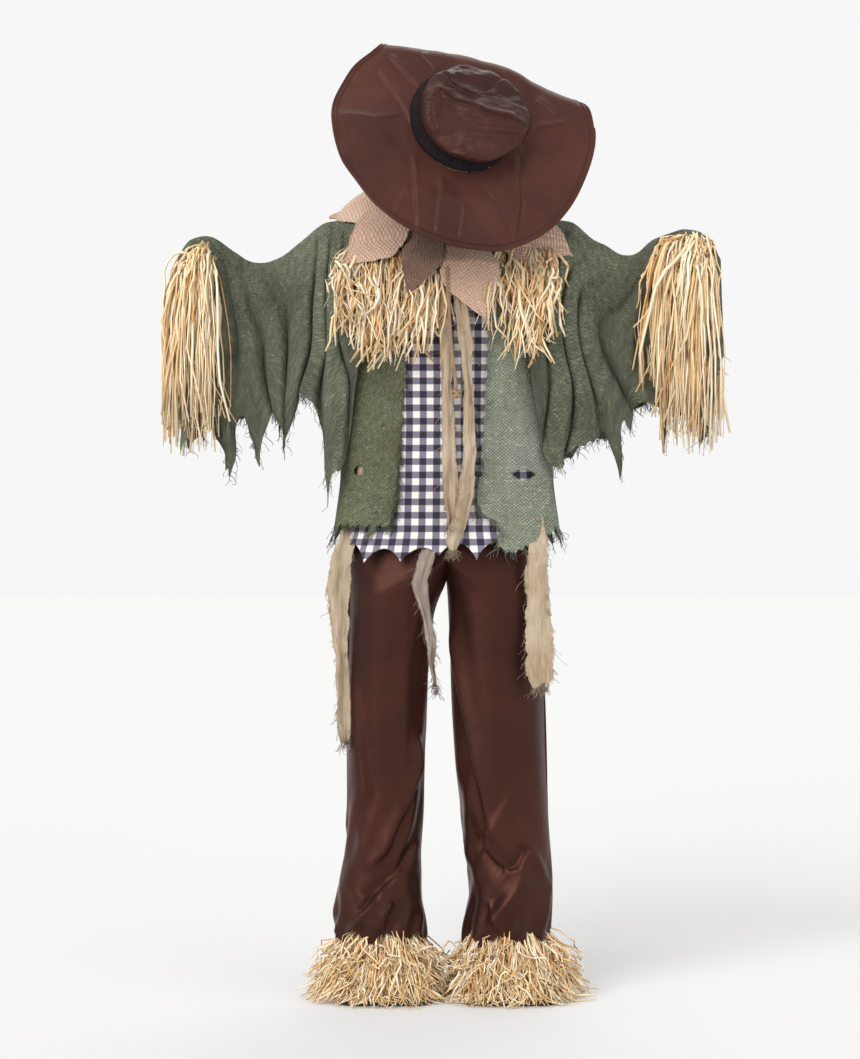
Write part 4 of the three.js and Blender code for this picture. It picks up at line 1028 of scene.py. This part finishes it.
def make_rag(name, node_name, middle, widths, depth, material, seed, twist):
    """A hanging torn strip: (z, x) down its middle, (z, width), and depth(z) for its y."""
    u, v = lattice(34, 260)
    rough = field(seed)
    top, bottom = middle[0][0], middle[-1][0]
    z = top + (bottom - top) * v
    x0 = through(z, sorted(middle), 14)
    width = through(z, sorted(widths), 8)
    across = 2 * u - 1
    torn = 1 + 0.10 * rough(z / 16, across + 4) + 0.07 * rough(z / 4, across + 9)
    half = width / 2 * torn
    turn = twist * np.sin(z / 150 + seed)
    x = x0 + across * half * np.cos(turn) + 2 * rough(z / 40)
    fold = 3.2 * np.sin(across * 4 + 2.5 * rough(z / 80)) + 2.0 * rough(across * 4, z / 50)
    y = depth(z) + across * half * np.sin(turn) + fold
    ragged = 14 * rough(across * 3.1, 7.5) * smooth(v, 0.94, 1)
    points = xyz(x, y, z + ragged)
    rag = cloth(name, points, xyz(across * half, z), material, 1.0)
    place(rag, "frame", "tan_gauze", node_name)
    edges = [points[0], points[-1], points[:, -1]]
    loose = fray(name.replace("cloth", "fray"), edges, 70, 24, material, seed + 140)
    place(loose, "frame", "tan_gauze")


def make_rags():
    front = lambda y: (lambda z: y + 5 * smooth(z, 1200, 900))
    make_rag("front_rag_long_cloth", "front_rag_long",
             [(1392, 19), (1340, 22), (1240, 34), (1100, 42), (1000, 40), (930, 30), (880, 14), (852, 8)],
             [(1392, 10), (1350, 24), (1250, 26), (1180, 15), (1080, 22), (1000, 28), (900, 32), (870, 30),
              (852, 14)],
             front(-122), TAN, 121, twist=0.35)
    make_rag("front_rag_short_cloth", "front_rag_short",
             [(1402, -5), (1330, -6), (1240, -4), (1150, 0), (1050, 2), (960, 6), (902, 8)],
             [(1402, 18), (1350, 26), (1240, 22), (1150, 20), (1050, 26), (960, 30), (902, 12)],
             front(-116), TAN, 122, twist=0.25)
    make_rag("side_rag_right_cloth", "side_rag_right",
             [(936, -176), (905, -186), (840, -200), (780, -206), (700, -204), (640, -200), (560, -196),
              (490, -195)],
             [(936, 20), (905, 26), (840, 40), (780, 44), (700, 34), (650, 24), (560, 30), (500, 26),
              (490, 14)],
             lambda z: -36 + 20 * smooth(z, 860, 920), TAN, 123, twist=0.3)
    make_rag("side_rag_left_cloth", "side_rag_left",
             [(920, 172), (880, 176), (830, 170), (760, 170), (690, 174), (640, 176), (600, 178)],
             [(920, 24), (880, 30), (830, 42), (760, 44), (690, 50), (640, 54), (612, 50), (600, 22)],
             lambda z: -88 + 34 * smooth(z, 846, 905), TAN, 124, twist=0.15)
    make_rag("centre_rag_cloth", "centre_rag",
             [(886, -30), (852, -34), (820, -44), (780, -52), (730, -40), (690, -30), (640, -28),
              (598, -22)],
             [(886, 26), (852, 30), (820, 34), (780, 30), (730, 16), (690, 22), (640, 10), (598, 5)],
             lambda z: -98 + 14 * smooth(z, 846, 880), GREY, 125, twist=0.5)


# ---------- Straw ----------


def make_hand(name, s):
    """Straw that leaves the tie at the arm's end, arches up and out, and hangs down."""
    rng = np.random.default_rng(140 + s)
    side = "left" if s > 0 else "right"
    n = 290
    root_x, root_z = (rng.uniform(460, 492, n), rng.uniform(1424, 1450, n)) if s > 0 else \
        (rng.uniform(452, 474, n), rng.uniform(1404, 1428, n))
    root = xyz(root_x, rng.normal(0, 9, n), root_z)
    turn = rng.uniform(-2.5, 0.75, n) if s < 0 else rng.uniform(-2.9, 0.4, n)
    spread = rng.uniform(0.25, 1.0, n) ** 0.7
    if s < 0:
        foot_x = np.clip(484 + np.cos(turn) * 62 * spread + rng.normal(0, 9, n), 404, 546)
    else:
        foot_x = np.clip(448 + np.cos(turn) * 84 * spread + rng.normal(0, 10, n), 348, 524)
    inner = smooth(430 - foot_x, 0, 60) * (s > 0)
    foot_y = np.clip(np.sin(turn) * 56 * spread + rng.normal(0, 7, n), -78, 44) - 16 * inner
    low = 1104 + rng.normal(0, 26, n) + 90 * (rng.random(n) < 0.2) - 50 * (rng.random(n) < 0.07) + 96 * inner
    foot = xyz(foot_x, foot_y, np.clip(low, 1040, 1330))
    rise = rng.uniform(22, 44, n)
    apex = root + xyz((foot_x - 463) * 0.45 - 30 * inner, foot_y * 0.5 - 10 * (s > 0), rise)
    shoulder = xyz(foot_x + rng.normal(0, 7, n), foot_y * 1.15, rng.uniform(1360, 1440, n))
    flick = 26 * rng.normal(0, 1, (n, 1)) * (rng.random((n, 1)) < 0.25) * np.array([[1.0, 0.5, 0.0]])
    paths = bend(root, apex, shoulder, foot, rng, k=12, kink=2.6)
    paths[:, -2:] += flick[:, None] * np.array([0.35, 1.0])[None, :, None]
    paths[..., 0] = np.clip(paths[..., 0], 330, 545) * s
    straw = ribbons(name, paths, rng.uniform(3.6, 8.6, n), STRAW, 150 + s)
    place(straw, f"arm_{side}", "straw", f"hand_straw_{side}")
    turn = np.linspace(0, TAU * 4, 120)
    slope = 0.4324  # radians that the end of the arm rod rises
    ring = xyz(turn / TAU * 2.6 - 20, 21.5 * np.cos(turn), 21.5 * np.sin(turn))
    x = 462 + ring[:, 0] * math.cos(slope) - ring[:, 2] * math.sin(slope)
    z = 1412 + ring[:, 0] * math.sin(slope) + ring[:, 2] * math.cos(slope)
    tie = tube(f"hand_tie_twine_{side}", xyz(s * x, ring[:, 1], z), 1.6, JUTE, 8)
    place(tie, f"arm_{side}", "jute", f"hand_tie_{side}")


def make_chest(name, node_name, low_x, high_x, n, seed, bottom):
    """Straw that comes out under the collar and hangs over the chest in a rounded bunch."""
    rng = np.random.default_rng(seed)
    middle, half = (low_x + high_x) / 2, (high_x - low_x) / 2
    t = rng.uniform(-1, 1, n)
    x0 = middle + half * 0.82 * t
    root = xyz(x0, rng.uniform(-90, -82, n), rng.uniform(1396, 1430, n))
    swing = rng.normal(0, 26, n)
    low = bottom + 74 * np.abs(t) ** 2.2
    low = low + rng.uniform(0, 80, n) * (rng.random(n) < 0.55) + rng.normal(0, 7, n)
    end_x = np.clip(middle + half * 0.8 * t + swing, low_x - 14, high_x + 14)
    end = xyz(end_x, rng.uniform(-134, -110, n), low)
    bulge = rng.uniform(10, 34, n)
    fan = 0.28 * half * t + rng.normal(0, 14, n)
    a = root + xyz(fan, -bulge, rng.uniform(-50, -24, n))
    b = end + xyz(0.6 * fan - 0.5 * swing, -0.3 * bulge, rng.uniform(50, 96, n))
    paths = bend(root, a, b, end, rng, k=10, kink=2.6, curl=6.0)
    hook = 18 * rng.normal(0, 1, (n, 1)) * (rng.random((n, 1)) < 0.35) * np.array([[1.0, 0.0, 0.35]])
    paths[:, -2:] += hook[:, None] * np.array([0.3, 1.0])[None, :, None]
    paths[..., 1] = np.minimum(paths[..., 1], np.interp(np.arange(10), [0, 3], [-84, -96]))
    straw = ribbons(name, paths, rng.uniform(3.6, 8.4, n), STRAW, seed + 1)
    place(straw, "frame", "straw", node_name)


LEG_X = 118  # how far each leg is from the middle of the figure


def make_foot(name, s):
    """Straw tied round the ankle that spills out of the trouser leg over the floor."""
    rng = np.random.default_rng(170 + s)
    side = "left" if s > 0 else "right"
    n = 760
    turn = rng.uniform(0, TAU, n)
    front = np.arange(n) < 250
    turn = np.where(front, -2.6 + 2.0 * turn / TAU, turn)
    c, sn = np.cos(turn), np.sin(turn)
    root = xyz(LEG_X + 26 * c, 26 * sn, rng.uniform(140, 176, n))
    layer = rng.uniform(0, 1, n) * np.where(front, 0.3, 1.0)
    reach = 96 + 52 * rng.uniform(0, 1, n) ** 1.1 + 24 * front
    outside = np.where(c > 0, 1.06, 0.90)
    skew = rng.normal(0, 0.35, n)
    end = xyz(LEG_X + reach * outside * np.cos(turn + skew), reach * 0.96 * np.sin(turn + skew),
              np.clip(4 + 74 * layer**2.4 + rng.normal(0, 5, n), 3.5, 110))
    over = 62 + 26 * rng.uniform(0, 1, n)
    a = xyz(LEG_X + over * 0.7 * c, over * 0.7 * sn, rng.uniform(100, 132, n))
    b = xyz(LEG_X + (over + 36) * c * outside, (over + 34) * sn, 24 + 74 * layer)
    paths = bend(root, a, b, end, rng, k=9, kink=4.0)
    loose = 150
    where = rng.uniform(0, TAU, loose)
    far = rng.uniform(60, 122, loose)
    centre = xyz(LEG_X + far * np.cos(where), far * np.sin(where), rng.uniform(10, 70, loose))
    facing = rng.uniform(0, TAU, loose)
    half = rng.uniform(20, 46, loose)[:, None]
    along = xyz(np.cos(facing), np.sin(facing), rng.uniform(-0.3, 0.5, loose)) * half
    arch = xyz(0, 0, rng.uniform(8, 40, loose))
    near, far = centre - along * 0.4 + arch, centre + along * 0.4 + arch
    extra = bend(centre - along, near, far, centre + along, rng, 9, 3.0)
    paths = np.concatenate([paths, extra])
    paths[..., 2] = np.maximum(paths[..., 2], 3.2)
    paths[..., 1] = np.minimum(paths[..., 1], 140)
    paths[..., 0] = np.maximum(paths[..., 0], -14) * s
    straw = ribbons(name, paths, rng.uniform(2.8, 5.6, len(paths)), STRAW, 180 + s)
    place(straw, "frame", "straw", f"foot_straw_{side}")
    turn = np.linspace(0, TAU * 4, 120)
    tie = xyz(s * LEG_X + 32 * np.cos(turn), 32 * np.sin(turn), 182 + 2.4 * turn / TAU)
    place(tube(f"ankle_tie_twine_{side}", tie, 1.7, JUTE, 8), "frame", "jute", f"ankle_tie_{side}")


# ---------- The figure ----------

make_shirt()
make_jacket("jacket_left_cloth", 1)
make_jacket("jacket_right_cloth", -1)
make_patch()
for side_name, sign in SIDES:
    make_sleeve(f"sleeve_cloth_{side_name}", sign)
    make_leg(f"trouser_leg_{side_name}", sign)
    make_hand(f"hand_straw_ribbons_{side_name}", sign)
    make_foot(f"foot_straw_ribbons_{side_name}", sign)
make_brim()
make_crown()
make_head()
make_collar()
make_rope()
make_rags()
make_chest("neck_straw_ribbons_left", "neck_straw_left", 84, 208, 112, 190, 1212)
make_chest("neck_straw_ribbons_right", "neck_straw_right", -214, -6, 178, 192, 1204)

slot_of = {row["node"]: row["material_slot"] for row in frame["record"]["subparts"]}
for node_name, cad in frame["nodes"].items():
    look = SLOT_MATERIALS.get(slot_of[node_name])
    if look and not cad.hide_render:
        for material_slot in cad.material_slots:
            material_slot.material = look


# ---------- Stage, light and camera ----------

floor_look, floor_shader, where = blank("floor", "Object", Roughness=0.9, Specular_IOR_Level=0.1)
greys = ramp(noise(where, 0.6, 2.0), (0.3, (229.83,) * 3), (0.7, (231.11,) * 3))
put(floor_shader.inputs["Base Color"], greys)
corners = [(x * 3e4, y * 3e4, -0.5) for x, y in ((-1, -1), (1, -1), (1, 1), (-1, 1))]
floor = piece("floor", corners, [[0, 1, 2, 3]], floor_look)

# The camera sees a flat backdrop, and everything else is lit by a softer glow.
world = bpy.data.worlds.new("studio")
world.use_nodes = True
sky = world.node_tree
backdrop = sky.nodes["Background"]
backdrop.inputs["Color"].default_value = (0.93, 0.93, 0.93, 1)
glow = node(sky, "Background", Color=(1.0, 0.99, 0.98, 1), Strength=0.62)
choose = node(sky, "MixShader")
seen = node(sky, "LightPath").outputs["Is Camera Ray"]
for socket, value in zip(choose.inputs, (seen, glow.outputs[0], backdrop.outputs[0])):
    put(socket, value)
put(sky.nodes["World Output"].inputs["Surface"], choose.outputs[0])
bpy.context.scene.world = world
bpy.context.scene.view_settings.view_transform = "Standard"


def sun(name, toward, strength, spread):
    """Even light along a direction, as soft as a source that many degrees wide."""
    light = bpy.data.lights.new(name, "SUN")
    light.energy, light.angle = strength, math.radians(spread)
    lamp = bpy.data.objects.new(name, light)
    lamp.rotation_euler = Vector(toward).to_track_quat("-Z", "Y").to_euler()
    bpy.context.collection.objects.link(lamp)


sun("key", (0.7, 1.2, -0.9), 2.15, 42)
sun("fill", (-0.9, 0.7, -0.5), 0.5, 60)
sun("back", (-0.2, -1.0, -1.3), 0.6, 40)

SEEN_HEIGHT = 2012.1  # mm of the figure's plane that the picture's height takes in
CAMERA_AT = (-32.3, -5060, 893.95)
CAMERA_TO_FRONT = 5000
SENSOR = 36
camera_data = bpy.data.cameras.new("camera")
camera_data.lens = SENSOR * CAMERA_TO_FRONT / SEEN_HEIGHT
camera_data.sensor_width = SENSOR
camera = bpy.data.objects.new("camera", camera_data)
camera.location = Vector(CAMERA_AT) * MM
camera.rotation_euler = (math.pi / 2, 0, 0)
bpy.context.collection.objects.link(camera)
bpy.context.scene.camera = camera
